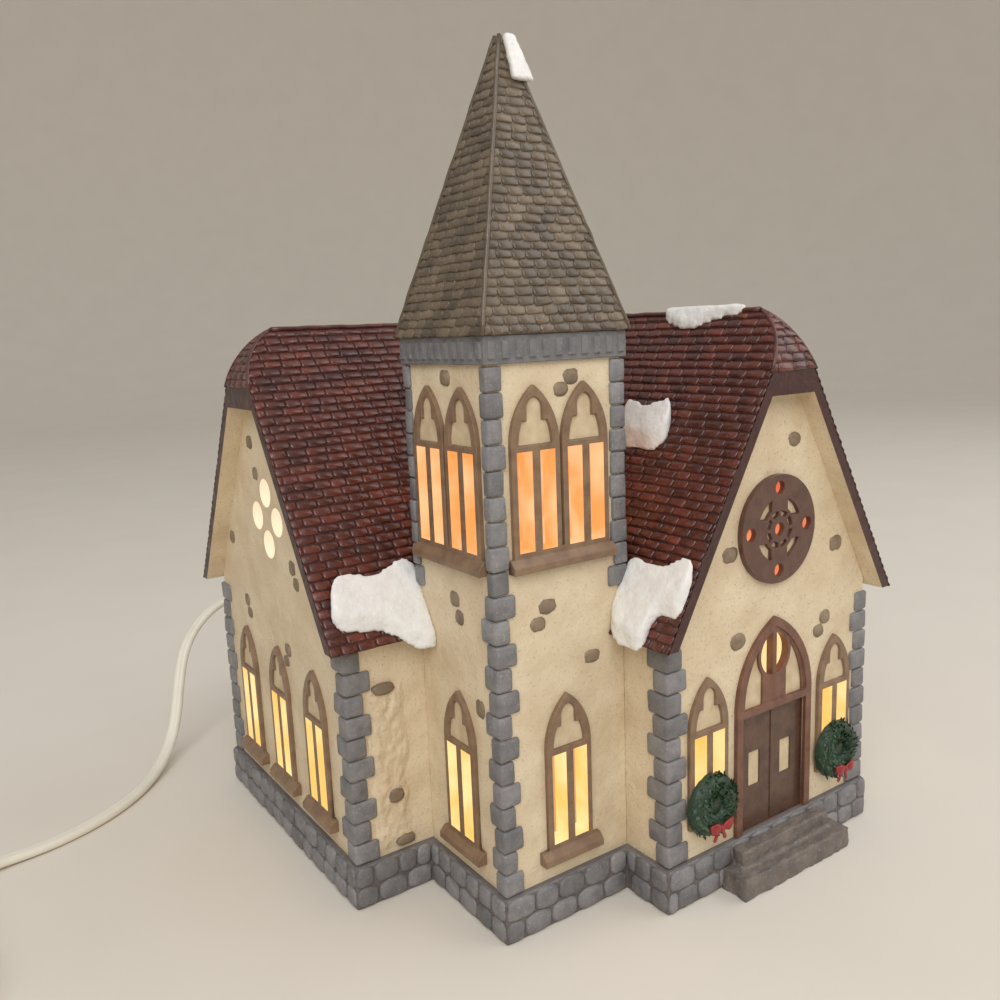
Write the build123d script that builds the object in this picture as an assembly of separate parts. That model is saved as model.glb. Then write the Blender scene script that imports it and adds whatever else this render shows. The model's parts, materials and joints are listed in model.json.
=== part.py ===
from build123d import *
import os
from math import atan2, ceil, cos, hypot, pi, radians, sin, sqrt, tan

# A lit ceramic village church: hollow castings luted together, lit through its windows by a
# snap-in lamp that goes in at the back.
# Millimetres. While pieces are made, X runs along the tower's front face, Y away from the front and
# Z up, from the tower's near corner. On writing, all move so that the origin is under the middle.

overrun = 1.0  # cuts pass this far beyond what they cut

# Plan and heights of the castings
tower_width = 42.0
tower_depth = 38.0
left_reach = 24.5  # the left gable wall stands this far left of the tower
front_reach = 16.5  # the front gable wall stands this far in front of the tower
left_span = 98.0  # left wing, outside of wall to outside of wall
front_span = 84.5
wall = 4.0
ridge_height = 161.5
eave_height = 76.5
eave_overhang = 5.5
gable_overhang = 5.6
roof_slab = 3.6  # square to the slope
shingle_courses = 38  # from the eaves to the ridge
shingle_step = 1.0  # drop from one course's foot to the top of the next one below
hip_drop = 16.5  # from the ridge to the half hip's lower edge
hip_setback = 6.0  # from a gable wall to the end of its ridge
hip_bulge = 2.8  # of the rounded half hip, out from its chord
tower_rise = 74.2  # from the eaves to the top of the tower's walls
tower_arch_height = 66.0  # the tower is open to the wings below this
tower_arch_depth = 8.0  # the opening reaches this far into the wings
hip_height = ridge_height - hip_drop
tower_height = eave_height + tower_rise
left_axis = tower_depth + left_span / 2  # Y of the left wing's ridge
front_axis = tower_width + front_span / 2  # X of the front wing's ridge
back_face = tower_depth + left_span
right_face = tower_width + front_span

# Cornice and spire
cornice_height = 6.8
cornice_proud = 1.2
dentil_count = 11  # on each side
dentil_proud = 0.6
dentil_height = 4.2
spire_overhang = 2.0
spire_height = 73.0
spire_tip = 1.6
spire_wall = 3.6

# Stone plinth, steps and quoins
plinth_height = 12.6
plinth_proud = 1.8
plinth_chamfer = 1.1
step_width = 46.0
step_depth = 9.0
step_height = 6.5
upper_step_width = 38.0
upper_step_depth = 4.5
quoin_course = 6.2
quoin_long = 7.0
quoin_short = 4.8
tower_quoin_long = 5.6
tower_quoin_short = 3.8
quoin_proud = 0.9

# Lancet windows
lancet_width = 15.0
lancet_jamb = 1.6
mullion = 2.4
frame_proud = 1.3
head_recess = 0.8
ground_light_foot = 22.6
ground_light_height = 25.4
belfry_lift = 27.5  # from the eaves to the feet of the belfry's lights
belfry_light_height = 25.2
transom = 1.4
arch_rise = 14.8
head_margin = 2.3  # of the frame beside the blind head
head_lobe_height = 11.2  # to where the sides of the lower lobe would meet
head_shoulder = 6.1
head_tip_share = 0.47  # of the head's width
head_tip_foot = 9.0
head_tip_height = 11.9
sill_height = 3.6
sill_lip = 1.8  # height of the sill's front edge
sill_proud = 2.9
sill_horn = 2.5  # the sill runs this far past the frame
left_pitch_share = 0.326  # of the left gable between its quoins
side_pitch = 40.0  # between windows of the right wall
door_margin = 3.6  # from the door to the front windows
quoin_margin = 0.35  # from the front windows to the quoins
belfry_margin = 3.6  # beside a pair of belfry windows, on the tower's narrower side
belfry_join = 0.8  # between the windows of a pair
belfry_light_foot = eave_height + belfry_lift
belfry_pair_width = min(tower_width, tower_depth) - 2 * belfry_margin
belfry_lancet_width = (belfry_pair_width - belfry_join) / 2
belfry_pitch = belfry_lancet_width + belfry_join
left_pitch = left_pitch_share * (left_span - 2 * quoin_long)

# Quatrefoil and rose
quatrefoil_height = 104.7
quatrefoil_hole = 8.8
quatrefoil_radius = 8.0
rose_height = 101.0
rose_diameter = 31.0
rose_rim = 6.4
rose_hub = 12.6  # diameter of the wheel inside the rim's arcs
rose_proud = 1.7
rose_field = 0.6  # thickness left under the recessed parts
rose_hole = 3.8
rose_hole_radius = 11.8
rose_spokes = 8
rose_spoke_width = 1.0
rose_bridge_share = 0.45  # share of each quarter that stays solid between the arcs

# Door
door_width = 32.6
door_apex = 75.6
door_spring = 50.2
door_jamb = 2.6
door_transom = 2.2
door_recess = 1.6  # depth of the pocket in the wall
door_leaf = 0.9  # thickness of the leaves
door_panel_width = 4.7
door_panel_height = 10.6
door_panel_foot = 25.4
door_panel_depth = 0.4
door_gap = 0.7
door_proud = frame_proud  # the wreaths hang against both
fan_width = 11.6
fan_height = 12.6
fan_centre = 64.4
fan_mullion = 1.8
spandrel_share = 0.62  # of the tympanum's half width, taken by each blind panel

front_lancet_width = front_span / 2 - door_width / 2 - door_margin - quoin_margin - quoin_long
front_pitch = door_width / 2 + door_margin + front_lancet_width / 2

# Wreaths
wreath_diameter = 19.0
wreath_section = 8.0
wreath_height = 27.5
bow_width = 9.4
bow_height = 6.6
bow_depth = 5.4
bow_drop = 5.6  # below the wreath's middle

# Snow: outlines seen from above, as shares of a box
snow_depth = 3.0
snow_reach = 5.0  # of the eave patches, up the slope from the wall's line
drift_offset = 20.6  # from the tower's right face
drift_run = 4.1
drift_start = 6.0  # behind the tower's front face
drift_length = 20.0
crest_depth = 1.6
crest_run = 3.0  # down the slope from the ridge
crest_over = 1.5  # past the ridge
crest_start = -5.0
crest_length = 30.0
cap_depth = 2.0
cap_height = 11.0
left_eave_shares = [(0.03, 0.64), (0.13, 0.86), (0.55, 0.82), (1, 0.86), (1, 0.03), (0.68, 0.2), (0.3, 0.4)]
front_eave_shares = [
    (0.16, 0.82), (0.14, 0.58), (0.24, 0.38), (0.46, 0.36), (0.54, 0.16),
    (0.6, 0.02), (0.86, 0), (0.8, 0.5), (0.76, 1), (0.32, 1),
]
drift_shares = [(0.25, 0.04), (0.6, 0), (1, 0.03), (0.97, 0.45), (0.92, 0.95), (0.1, 0.8), (0, 0.5)]
crest_shares = [(0.72, 0), (1, 0.1), (1, 0.92), (0.5, 1), (0.2, 0.88), (0, 0.62), (0.34, 0.28)]

# Lamp
lamp_x = 12.0
lamp_drop = 19.5  # below the eaves
lamp_height = eave_height - lamp_drop
lamp_hole = 32.0
flange_diameter = 38.0
flange_thickness = 2.5
barrel_diameter = 21.0
barrel_length = 34.0  # from the wall's outer face
cap_diameter = 27.0
cap_length = 6.5
cap_neck = 12.0
sleeve_diameter = 14.2
sleeve_wall = 0.7
sleeve_length = 19.0
fit_clearance = 0.3
contact_diameter = 7.0
contact_thickness = 1.2
clip_band = 0.8
clip_band_length = 5.0
clip_width = 8.0
clip_band_depth = 24.0  # from the wall's outer face to the band
clip_grip = 1.0  # the knees stand this far outside the hole
clip_knee_depth = 2.3  # the knees stand this far inside the wall
relief_length = 18.0
relief_diameter = 10.6
relief_tip = 6.6
relief_ribs = 4
relief_groove = 0.7

# Bulb
base_diameter = 11.8
base_length = 16.0
base_rim = 1.2
base_tip = 1.4
base_tip_diameter = 4.6
glass_diameter = 22.0
glass_length = 41.0
glass_neck = 10.6
glass_belly = 14.5  # from the base to the widest place
glass_wall = 0.8
stem_diameter = 4.4
stem_length = 9.0
lead_diameter = 0.7
lead_length = 13.0
lead_spread = 7.0
filament_rise = 2.4

# Cord: its route by hand, from the strain relief to the switch and on to the coil
cord = 4.4
cord_route = [
    (12.0, 163.0, 57.0),
    (12.0, 173.2, 57.0),
    (7.5, 182.4, 56.4),
    (-0.5, 188.7, 54.9),
    (-10.5, 190.8, 51.8),
    (-20.4, 188.3, 46.6),
    (-28.4, 184.4, 38.0),
    (-33.0, 179.3, 27.0),
    (-36.6, 174.0, 15.6),
    (-41.5, 167.5, 7.0),
    (-49.7, 157.0, 2.7),
    (-61.0, 143.5, 2.3),
    (-75.3, 133.0, 2.3),
    (-91.7, 127.0, 2.3),
    (-107.5, 124.9, 2.7),
    (-121.0, 118.0, 4.0),
    (-129.0, 106.5, 6.0),
    (-129.0, 94.0, 6.0),
]
bend_share = 0.45  # of the shorter run beside a bend, taken by its arc
coil_turns = 3.5  # in each of two layers
coil_gap = 0.6  # between neighbouring turns
coil_middle = 52.8  # diameter at the middle of the turns
coil_lift = 1.0  # the lowest layer lies on the tie
coil_centre_y = 10.0
link_run = 11.0
tail_length = 36.0
tie_width = 6.0
tie_thickness = 0.7
tie_clearance = 0.3

# In-line switch
switch_length = 46.0
switch_width = 20.0
switch_height = 12.0
switch_corner = 6.0
switch_shell = 1.6
wheel_diameter = 16.0
wheel_thickness = 4.0
wheel_offset = 4.6  # from the switch's middle line towards its left side
wheel_pin = 3.0
wheel_knurls = 18
wheel_knurl_depth = 0.5
wheel_clearance = 0.6
screw_diameter = 2.6
screw_head = 4.6
screw_head_height = 1.4
screw_inset = 8.0  # from the switch's ends

# Plug
plug_length = 27.0
plug_width = 22.0
plug_nose = 4.0
plug_waist_share = 0.75  # of the plug's width and height, at the end of its nose
plug_corner = 3.2
blade_length = 16.0
blade_width = 6.3
blade_thickness = 1.5
blade_pitch = 12.7
blade_seat = 3.0


def face_plane(origin, outward):
    """A wall's own plane: its X runs to the right as seen from outside, its Y up."""
    right = Vector(0, 0, 1).cross(Vector(outward))
    return Plane(origin=origin, x_dir=right, z_dir=outward)


front_out = (0, -1, 0)
left_out = (-1, 0, 0)
right_out = (1, 0, 0)
back_out = (0, 1, 0)
gable_front = face_plane((front_axis, -front_reach, 0), front_out)
gable_left = face_plane((-left_reach, left_axis, 0), left_out)
side_right = face_plane((right_face, (back_face - front_reach) / 2, 0), right_out)
tower_front = face_plane((tower_width / 2, 0, 0), front_out)
tower_left = face_plane((0, tower_depth / 2, 0), left_out)
tower_back = face_plane((tower_width / 2, tower_depth, 0), back_out)
tower_right = face_plane((tower_width, tower_depth / 2, 0), right_out)


def block(low, high):
    """A box between two corners."""
    size = Vector(high) - Vector(low)
    middle = (Vector(high) + Vector(low)) / 2
    return Pos(*middle) * Box(*size)


def prism(points, height):
    """A straight prism on the XY plane from an outline's corners."""
    return extrude(make_face(Polyline(*points, close=True)), height)


def tube(outer, bore, length):
    """A round tube that stands on the XY plane."""
    return extrude(Circle(outer / 2) - Circle(bore / 2), length)


def disc(diameter, length):
    return extrude(Circle(diameter / 2), length)


# Castings


def wing_outline(foot, base, top, courses):
    """A wing's end: two slopes, each with a step at the foot of every course of shingles."""
    right = [(foot, base)]
    for course in range(1, courses):
        share = course / courses
        x = foot * (1 - share)
        lip = base + (top - base) * share
        right += [(x, lip - shingle_step), (x, lip)]
    left = [(-x, lip) for x, lip in reversed(right)]
    return [*right, (0, top), *left]


def wing_volume(
    plane, half_span, length, hip_ends, drop=0.0, base=eave_height, spare=0.0, courses=1
):
    """The space under one wing's roof. drop lowers its top, measured square to each slope."""
    slope = (ridge_height - eave_height) / (half_span + eave_overhang)
    top = ridge_height - drop * hypot(1, slope)
    foot = (top - base) / slope
    outline = wing_outline(foot, base, top, courses)
    volume = Pos(0, 0, -spare) * prism(outline, length + 2 * spare)
    setback = hip_setback + gable_overhang
    hip_slope = (ridge_height - hip_height) / setback
    start = hip_height - drop * hypot(1, hip_slope)
    sky = ridge_height + 2 * setback
    over = abs(drop) + spare + overrun
    low, high = Vector(0, start), Vector(setback, start + hip_slope * setback)
    out = Vector(-hip_slope, 1).normalized()
    chord_end = (-over, start - hip_slope * over)
    outline = [Line(chord_end, low), ThreePointArc(low, (low + high) / 2 + out * hip_bulge, high)]
    outline.append(Polyline(high, (2 * setback, high.Y + hip_slope * setback), (2 * setback, sky), (-over, sky)))
    outline.append(Line((-over, sky), chord_end))
    across = Plane(origin=(foot + over, 0, 0), x_dir=(0, 0, 1), z_dir=(-1, 0, 0))
    cutter = across * extrude(make_face(outline), 2 * (foot + over))
    if "near" in hip_ends:
        volume -= cutter
    if "far" in hip_ends:
        volume -= Pos(0, 0, length) * mirror(cutter, about=Plane.XY)
    return plane * volume


def left_wing(**shape):
    plane = Plane(
        origin=(-left_reach - gable_overhang, left_axis, 0), x_dir=(0, 1, 0), z_dir=(1, 0, 0)
    )
    length = left_reach + gable_overhang + front_axis
    return wing_volume(plane, left_span / 2, length, ["near"], **shape)


def front_wing(**shape):
    plane = Plane(
        origin=(front_axis, -front_reach - gable_overhang, 0), x_dir=(-1, 0, 0), z_dir=(0, 1, 0)
    )
    length = front_reach + back_face + 2 * gable_overhang
    return wing_volume(plane, front_span / 2, length, ["near", "far"], **shape)


def tower_block(inset=0.0, top=tower_height, spare=0.0):
    low = (inset, inset, -spare)
    return block(low, (tower_width - inset, tower_depth - inset, top + spare))


def make_roof():
    outer = left_wing(courses=shingle_courses) + front_wing(courses=shingle_courses)
    low = eave_height - overrun
    inner = left_wing(drop=roof_slab, base=low, spare=overrun)
    inner += front_wing(drop=roof_slab, base=low, spare=overrun)
    return outer - inner - tower_block(top=ridge_height)


def wing_boxes(inset, top):
    left = block(
        (-left_reach + inset, tower_depth + inset, -inset),
        (front_axis, back_face - inset, top),
    )
    front = block(
        (tower_width + inset, -front_reach + inset, -inset),
        (right_face - inset, back_face - inset, top),
    )
    return left, front


def tower_arch(reach):
    """The opening from the tower into both wings, that far past the tower's own faces."""
    return block((wall, wall, -overrun), (tower_width + reach, tower_depth + reach, tower_arch_height))


def make_walls():
    left, front = wing_boxes(0.0, ridge_height)
    left &= left_wing(drop=roof_slab, base=-overrun)
    front &= front_wing(drop=roof_slab, base=-overrun)
    left_room, front_room = wing_boxes(wall, ridge_height + overrun)
    shell = left + front - left_room - front_room
    shell -= tower_arch(tower_arch_depth)
    places = lancet_places()
    for place in places["left"] + places["side"]:
        shell -= place * lancet_lights(lancet_width, ground_light_foot, ground_light_height, wall)
    for place in places["front"]:
        lights = lancet_lights(front_lancet_width, ground_light_foot, ground_light_height, wall)
        shell -= place * lights
    hole = disc(quatrefoil_hole, 2 * (wall + overrun))
    for turn in range(4):
        angle = turn * pi / 2
        x = quatrefoil_radius * cos(angle)
        y = quatrefoil_height + quatrefoil_radius * sin(angle)
        shell -= gable_left * Pos(x, y, -wall - overrun) * hole
    for x, y in rose_holes():
        shell -= gable_front * Pos(x, rose_height + y, -wall - overrun) * disc(
            rose_hole, wall + 2 * overrun
        )
    pocket = make_face(lancet(door_width - 2 * door_jamb, plinth_height, door_spring, inner_apex()))
    shell -= gable_front * Pos(0, 0, -door_recess) * extrude(pocket, door_recess + overrun)
    shell -= gable_front * Pos(0, 0, -wall - overrun) * fan_openings(wall + 2 * overrun)
    shell -= lamp_plane() * Pos(0, 0, -wall - overrun) * disc(lamp_hole, wall + 2 * overrun)
    return shell


def make_tower():
    tower = tower_block() - tower_block(inset=wall, spare=overrun)
    tower -= tower_arch(overrun)
    for place in lancet_places()["tower"]:
        tower -= place * lancet_lights(lancet_width, ground_light_foot, ground_light_height, wall)
    for place in belfry_places().values():
        tower -= place * belfry_lights(wall)
    return tower


def make_cornice():
    wide = tower_width + 2 * cornice_proud
    deep = tower_depth + 2 * cornice_proud
    ring = Rectangle(wide, deep) - Rectangle(tower_width - 2 * wall, tower_depth - 2 * wall)
    cornice = extrude(ring, cornice_height)
    outside = (Align.CENTER, Align.MAX, Align.CENTER)
    for turn in range(4):
        run, across = (wide, deep) if turn % 2 == 0 else (deep, wide)
        pitch = run / dentil_count
        dentil = Box(pitch / 2, dentil_proud, dentil_height, align=outside)
        for step in range(dentil_count):
            x = (step - (dentil_count - 1) / 2) * pitch
            cornice += Rot(0, 0, turn * 90) * Pos(x, -across / 2, cornice_height / 2) * dentil
    return Pos(tower_width / 2, tower_depth / 2, tower_height) * cornice


def spire_volume(grow=0.0, height=spire_height, tip=spire_tip):
    """The spire's four slopes, grown sideways and cut off at a height."""
    spread = 2 * (spire_overhang + grow)
    base = Rectangle(tower_width + spread, tower_depth + spread)
    volume = loft([base, Pos(0, 0, height) * Rectangle(tip, tip)], ruled=True)
    return Pos(tower_width / 2, tower_depth / 2, tower_height + cornice_height) * volume


def make_spire():
    half_base = tower_width / 2 + spire_overhang - spire_tip / 2
    inner = spire_volume(-spire_wall, spire_height * (1 - spire_wall / half_base))
    return spire_volume() - inner


# Stone work


def footprint():
    """The outline of both wings and the tower on the ground."""
    left = Rectangle(left_reach + front_axis, left_span, align=(Align.MIN, Align.MIN))
    front = Rectangle(front_span, front_reach + back_face, align=(Align.MIN, Align.MIN))
    tower = Rectangle(tower_width, tower_depth, align=(Align.MIN, Align.MIN))
    wings = Pos(-left_reach, tower_depth) * left + Pos(tower_width, -front_reach) * front
    return wings + tower


def make_plinth():
    outline = offset(footprint(), amount=plinth_proud, kind=Kind.INTERSECTION)
    course = extrude(outline, plinth_height)
    top = course.faces().sort_by(Axis.Z)[-1]
    course = chamfer(top.outer_wire().edges(), plinth_chamfer)
    return course - extrude(footprint(), plinth_height)


def make_steps():
    front = -front_reach - plinth_proud
    lower = block(
        (front_axis - step_width / 2, front - step_depth, 0),
        (front_axis + step_width / 2, front, step_height),
    )
    upper = block(
        (front_axis - upper_step_width / 2, front - upper_step_depth, step_height),
        (front_axis + upper_step_width / 2, front, plinth_height - plinth_chamfer),
    )
    return lower + upper


def toothed_strip(height, longest, shortest):
    """One face of a corner's stones: a strip up from the plinth, with long and short courses."""
    courses = int((height - plinth_height) / quoin_course)
    step = (height - plinth_height) / courses
    points = [(0, plinth_height)]
    for course in range(courses):
        reach = longest if course % 2 == 0 else shortest
        low = plinth_height + course * step
        points += [(reach, low), (reach, low + step)]
    points += [(0, height)]
    return prism(points, quoin_proud)


def corner_stones(corner, first, second, height, reaches=(quoin_long, quoin_short)):
    """Stones round an outside corner; first and second point along its two faces."""
    x, y = corner
    stones = None
    for along, other in ((first, second), (second, first)):
        outward = -Vector(other)
        longest, shortest = reaches if along == first else reversed(reaches)
        plane = Plane(origin=(x, y, 0), x_dir=along, z_dir=Vector(along).cross(Vector(0, 0, 1)))
        strip = plane * toothed_strip(height, longest, shortest)
        if plane.z_dir.dot(outward) < 0:
            strip = mirror(strip, about=Plane(origin=(x, y, 0), z_dir=plane.z_dir))
        stones = strip if stones is None else stones + strip
    edge = block((0, 0, plinth_height), (quoin_proud, quoin_proud, height))
    turn_x = 0 if first[0] + second[0] < 0 else -quoin_proud
    turn_y = 0 if first[1] + second[1] < 0 else -quoin_proud
    return stones + Pos(x + turn_x, y + turn_y, 0) * edge


def quoins():
    """Corner stones of each outside corner, by name."""
    east, north = (1, 0, 0), (0, 1, 0)
    west, south = (-1, 0, 0), (0, -1, 0)
    wall_top = eave_height - overrun
    tower_reaches = (tower_quoin_long, tower_quoin_short)
    tower_stones = corner_stones((0, 0), east, north, tower_height, tower_reaches)
    for side in ("front", "left"):
        tower_stones -= belfry_places()[side] * (belfry_pair() + belfry_lights(0.0))
    return {
        "quoins_tower": tower_stones,
        "quoins_left_near": corner_stones((-left_reach, tower_depth), east, north, wall_top),
        "quoins_left_far": corner_stones((-left_reach, back_face), east, south, wall_top),
        "quoins_front_near": corner_stones((tower_width, -front_reach), east, north, wall_top),
        "quoins_front_far": corner_stones((right_face, -front_reach), west, north, wall_top),
        "quoins_rear": corner_stones((right_face, back_face), west, south, wall_top),
    }


# Windows


def lancet(width, foot, spring, apex):
    """A pointed arch on straight jambs, as a closed line."""
    half = width / 2
    rise = apex - spring
    radius = (rise * rise + half * half) / width
    turn = atan2(rise, radius - half) / 2
    middle = (half - radius + radius * cos(turn), spring + radius * sin(turn))
    right = ThreePointArc((half, spring), middle, (0, apex))
    left = ThreePointArc((0, apex), (-middle[0], middle[1]), (-half, spring))
    corners = [(-half, foot), (half, foot)]
    if spring > foot:
        corners = [(-half, spring), *corners, (half, spring)]
    jambs = Polyline(*corners)
    return Wire([*right.edges(), *left.edges(), *jambs.edges()])


def lancet_lights(width, foot, height, depth):
    """The two tall openings of a window, as cutters through a wall of that depth."""
    cutter = None
    light_width = (width - mullion) / 2 - lancet_jamb
    for side in (-1, 1):
        x = side * (light_width + mullion) / 2
        light = Pos(x, foot + height / 2, -depth - overrun) * extrude(
            Rectangle(light_width, height), depth + 2 * overrun + sill_proud
        )
        cutter = light if cutter is None else cutter + light
    return cutter


def lancet_frame(width, foot, height, sill=True):
    """The raised frame of one window with its blind cusped head and its sill."""
    spring = foot + height + transom
    low = foot - transom
    frame = extrude(make_face(lancet(width, low, spring, spring + arch_rise)), frame_proud)
    head_width = width - 2 * head_margin
    lobe = make_face(lancet(head_width, spring, spring, spring + head_lobe_height))
    lobe &= Pos(0, spring + head_shoulder / 2) * Rectangle(head_width, head_shoulder)
    tip_foot = spring + head_tip_foot
    tip = lancet(head_tip_share * head_width, spring, tip_foot, spring + head_tip_height)
    head = lobe + make_face(tip)
    frame -= Pos(0, 0, frame_proud - head_recess) * extrude(head, head_recess + overrun)
    frame -= lancet_lights(width, foot, height, frame_proud)
    if sill:
        frame += sill_moulding(width + 2 * sill_horn, low)
    return frame


def sill_moulding(width, top):
    """A weathered sill under a window, square behind and sloping to its lip."""
    low = top - sill_height
    outline = [(0, low), (sill_proud, low), (sill_proud, low + sill_lip), (frame_proud, top), (0, top)]
    along = Plane(origin=(-width / 2, 0, 0), x_dir=(0, 0, 1), z_dir=(1, 0, 0))
    flat = [(z, -y) for z, y in outline]
    return along * prism(flat, width)


def lancet_places():
    """Planes of the ground-floor windows, of the wing walls and of the tower."""
    left = [gable_left * Pos(step * left_pitch, 0, 0) for step in (-1, 0, 1)]
    front = [gable_front * Pos(step * front_pitch, 0, 0) for step in (-1, 1)]
    side = [side_right * Pos(step * side_pitch, 0, 0) for step in (-1, 0, 1)]
    return {
        "left": left,
        "front": front,
        "side": side,
        "tower": [tower_front * Pos(0, 0, 0), tower_left * Pos(0, 0, 0)],
    }


def belfry_places():
    return {
        "front": tower_front * Pos(0, 0, 0),
        "left": tower_left * Pos(0, 0, 0),
        "back": tower_back * Pos(0, 0, 0),
        "right": tower_right * Pos(0, 0, 0),
    }


def belfry_lights(depth):
    """The four openings of a pair of belfry windows, as cutters."""
    lights = lancet_lights(belfry_lancet_width, belfry_light_foot, belfry_light_height, depth)
    return Pos(-belfry_pitch / 2, 0, 0) * lights + Pos(belfry_pitch / 2, 0, 0) * lights


def belfry_pair():
    """Two windows side by side over one sill."""
    frame = lancet_frame(
        belfry_lancet_width, belfry_light_foot, belfry_light_height, sill=False
    )
    pair = Pos(-belfry_pitch / 2, 0, 0) * frame + Pos(belfry_pitch / 2, 0, 0) * frame
    low = belfry_light_foot - transom
    meet = block(
        (-belfry_pitch / 2, low, 0),
        (belfry_pitch / 2, low + transom, frame_proud),
    )
    return pair + meet + sill_moulding(belfry_pair_width + sill_horn, low)


def window_frames():
    """Every window frame, by name."""
    places = lancet_places()
    frames = {}
    named = {"window_left": places["left"], "window_side": places["side"]}
    named["window_tower"] = places["tower"]
    for name, group in named.items():
        for number, place in enumerate(group, 1):
            frames[f"{name}_{number}"] = place * lancet_frame(
                lancet_width, ground_light_foot, ground_light_height
            )
    for number, place in enumerate(places["front"], 1):
        frames[f"window_front_{number}"] = place * lancet_frame(
            front_lancet_width, ground_light_foot, ground_light_height, sill=False
        )
    for side, place in belfry_places().items():
        frames[f"belfry_{side}"] = place * belfry_pair()
    return frames


def rose_holes():
    """The middle hole and the four round it."""
    places = [(0, 0)]
    for turn in range(4):
        angle = turn * pi / 2
        places.append((rose_hole_radius * cos(angle), rose_hole_radius * sin(angle)))
    return places


def make_rose():
    """A wheel window: a pierced rim, four sunk arcs and a spoked hub."""
    rose = disc(rose_diameter, rose_proud)
    sunk = rose_proud - rose_field
    rim_inner = rose_diameter / 2 - rose_rim
    hub = rose_hub / 2
    arc_band = Circle(rim_inner) - Circle(hub)
    bridge = 2 * rim_inner * tan(rose_bridge_share * pi / 4)
    cross = Rectangle(bridge, 2 * rose_diameter) + Rectangle(2 * rose_diameter, bridge)
    rose -= Pos(0, 0, rose_field) * extrude(arc_band - cross, sunk + overrun)
    ring_inner = hub - rose_spoke_width
    wheel = Circle(ring_inner) - Circle(rose_hole)
    for spoke in range(rose_spokes // 2):
        turn = Rot(0, 0, spoke * 360 / rose_spokes)
        wheel -= turn * Rectangle(rose_diameter, rose_spoke_width)
    rose -= Pos(0, 0, rose_field) * extrude(wheel, sunk + overrun)
    for x, y in rose_holes():
        rose -= Pos(x, y, -overrun) * disc(rose_hole, rose_proud + 2 * overrun)
    return gable_front * Pos(0, rose_height, 0) * rose


# Door


def inner_apex():
    """Top of the arch inside the door's moulding, whose two sides stay parallel."""
    rise = door_apex - door_spring
    half = door_width / 2
    radius = (rise * rise + half * half) / door_width
    return door_spring + sqrt((radius - door_jamb) ** 2 - (radius - half) ** 2)


def fan_openings(depth):
    """Two half ovals over the door, side by side."""
    oval = Ellipse(fan_width / 2, fan_height / 2) - Rectangle(fan_mullion, fan_height)
    return Pos(0, fan_centre, 0) * extrude(oval, depth)


def make_door_surround():
    """The arched moulding, the transom and the tympanum with its fanlight."""
    outer = make_face(lancet(door_width, plinth_height, door_spring, door_apex))
    inner_width = door_width - 2 * door_jamb
    inner = make_face(lancet(inner_width, plinth_height, door_spring, inner_apex()))
    ring = extrude(outer - inner, door_proud)
    below = Rectangle(inner_width, door_spring - plinth_height, align=(Align.CENTER, Align.MIN))
    head = inner - Pos(0, plinth_height) * below
    tympanum = Pos(0, 0, -door_recess) * extrude(head, door_recess + door_proud / 2)
    bar = Pos(0, door_spring - door_transom / 2, -door_recess) * extrude(
        Rectangle(inner_width, door_transom), door_recess + door_proud
    )
    sunk = make_face(lancet(inner_width - door_jamb, door_spring, door_spring, inner_apex()))
    sunk -= Rectangle(inner_width * (1 - spandrel_share), 2 * door_apex)
    sunk -= Pos(0, fan_centre) * Ellipse((fan_width + door_jamb) / 2, (fan_height + door_jamb) / 2)
    tympanum -= extrude(sunk, door_proud)
    through = door_recess + door_proud + 2 * overrun
    tympanum -= Pos(0, 0, -door_recess - overrun) * fan_openings(through)
    return gable_front * (ring + tympanum + bar)


def make_door_leaves():
    """A pair of plank leaves that fill the pocket, each with a small sunk panel."""
    inner_width = door_width - 2 * door_jamb
    high = door_spring - door_transom - plinth_height
    leaves = extrude(Rectangle(inner_width, high, align=(Align.CENTER, Align.MIN)), door_leaf)
    leaves = Pos(0, plinth_height, -door_recess) * leaves
    top = door_leaf - door_recess
    groove = extrude(Rectangle(door_gap, 2 * high), door_panel_depth + overrun)
    leaves -= Pos(0, plinth_height, top - door_panel_depth) * groove
    panel = extrude(Rectangle(door_panel_width, door_panel_height), door_panel_depth + overrun)
    for side in (-1, 1):
        x = side * inner_width / 4
        y = door_panel_foot + door_panel_height / 2
        leaves -= Pos(x, y, top - door_panel_depth) * panel
    return gable_front * leaves


# Wreaths and snow


def wreath():
    """A round wreath with a flat back, about the middle of its hole."""
    ring_radius = (wreath_diameter - wreath_section) / 2
    section = Pos(ring_radius, 0) * Circle(wreath_section / 2)
    section &= Pos(ring_radius, 0) * Rectangle(
        wreath_section, wreath_section, align=(Align.CENTER, Align.MIN)
    )
    return Rot(90, 0, 0) * revolve(section, axis=Axis.Y)


def bow():
    """A ribbon bow: two loops and a knot, cut to sit on the wreath."""
    half = bow_width / 2
    rise = bow_height / 2
    pinch = rise / 3
    right = [(0, -pinch), (half, -rise), (half, rise)]
    left = [(0, pinch), (-half, rise), (-half, -rise)]
    return Pos(0, -bow_drop, 0) * prism(right + left, bow_depth)


def wreaths():
    pieces = {}
    for number, place in enumerate(lancet_places()["front"], 1):
        seat = place * Pos(0, wreath_height, frame_proud)
        ring = wreath()
        pieces[f"wreath_{number}"] = seat * ring
        pieces[f"wreath_bow_{number}"] = seat * (bow() - ring)
    return pieces


def snow_outline(shares, low, high):
    """A soft closed outline seen from above, as a tall prism."""
    points = [
        (low[0] + u * (high[0] - low[0]), low[1] + v * (high[1] - low[1])) for u, v in shares
    ]
    return extrude(make_face(Spline(*points, periodic=True)), 2 * ridge_height)


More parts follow.
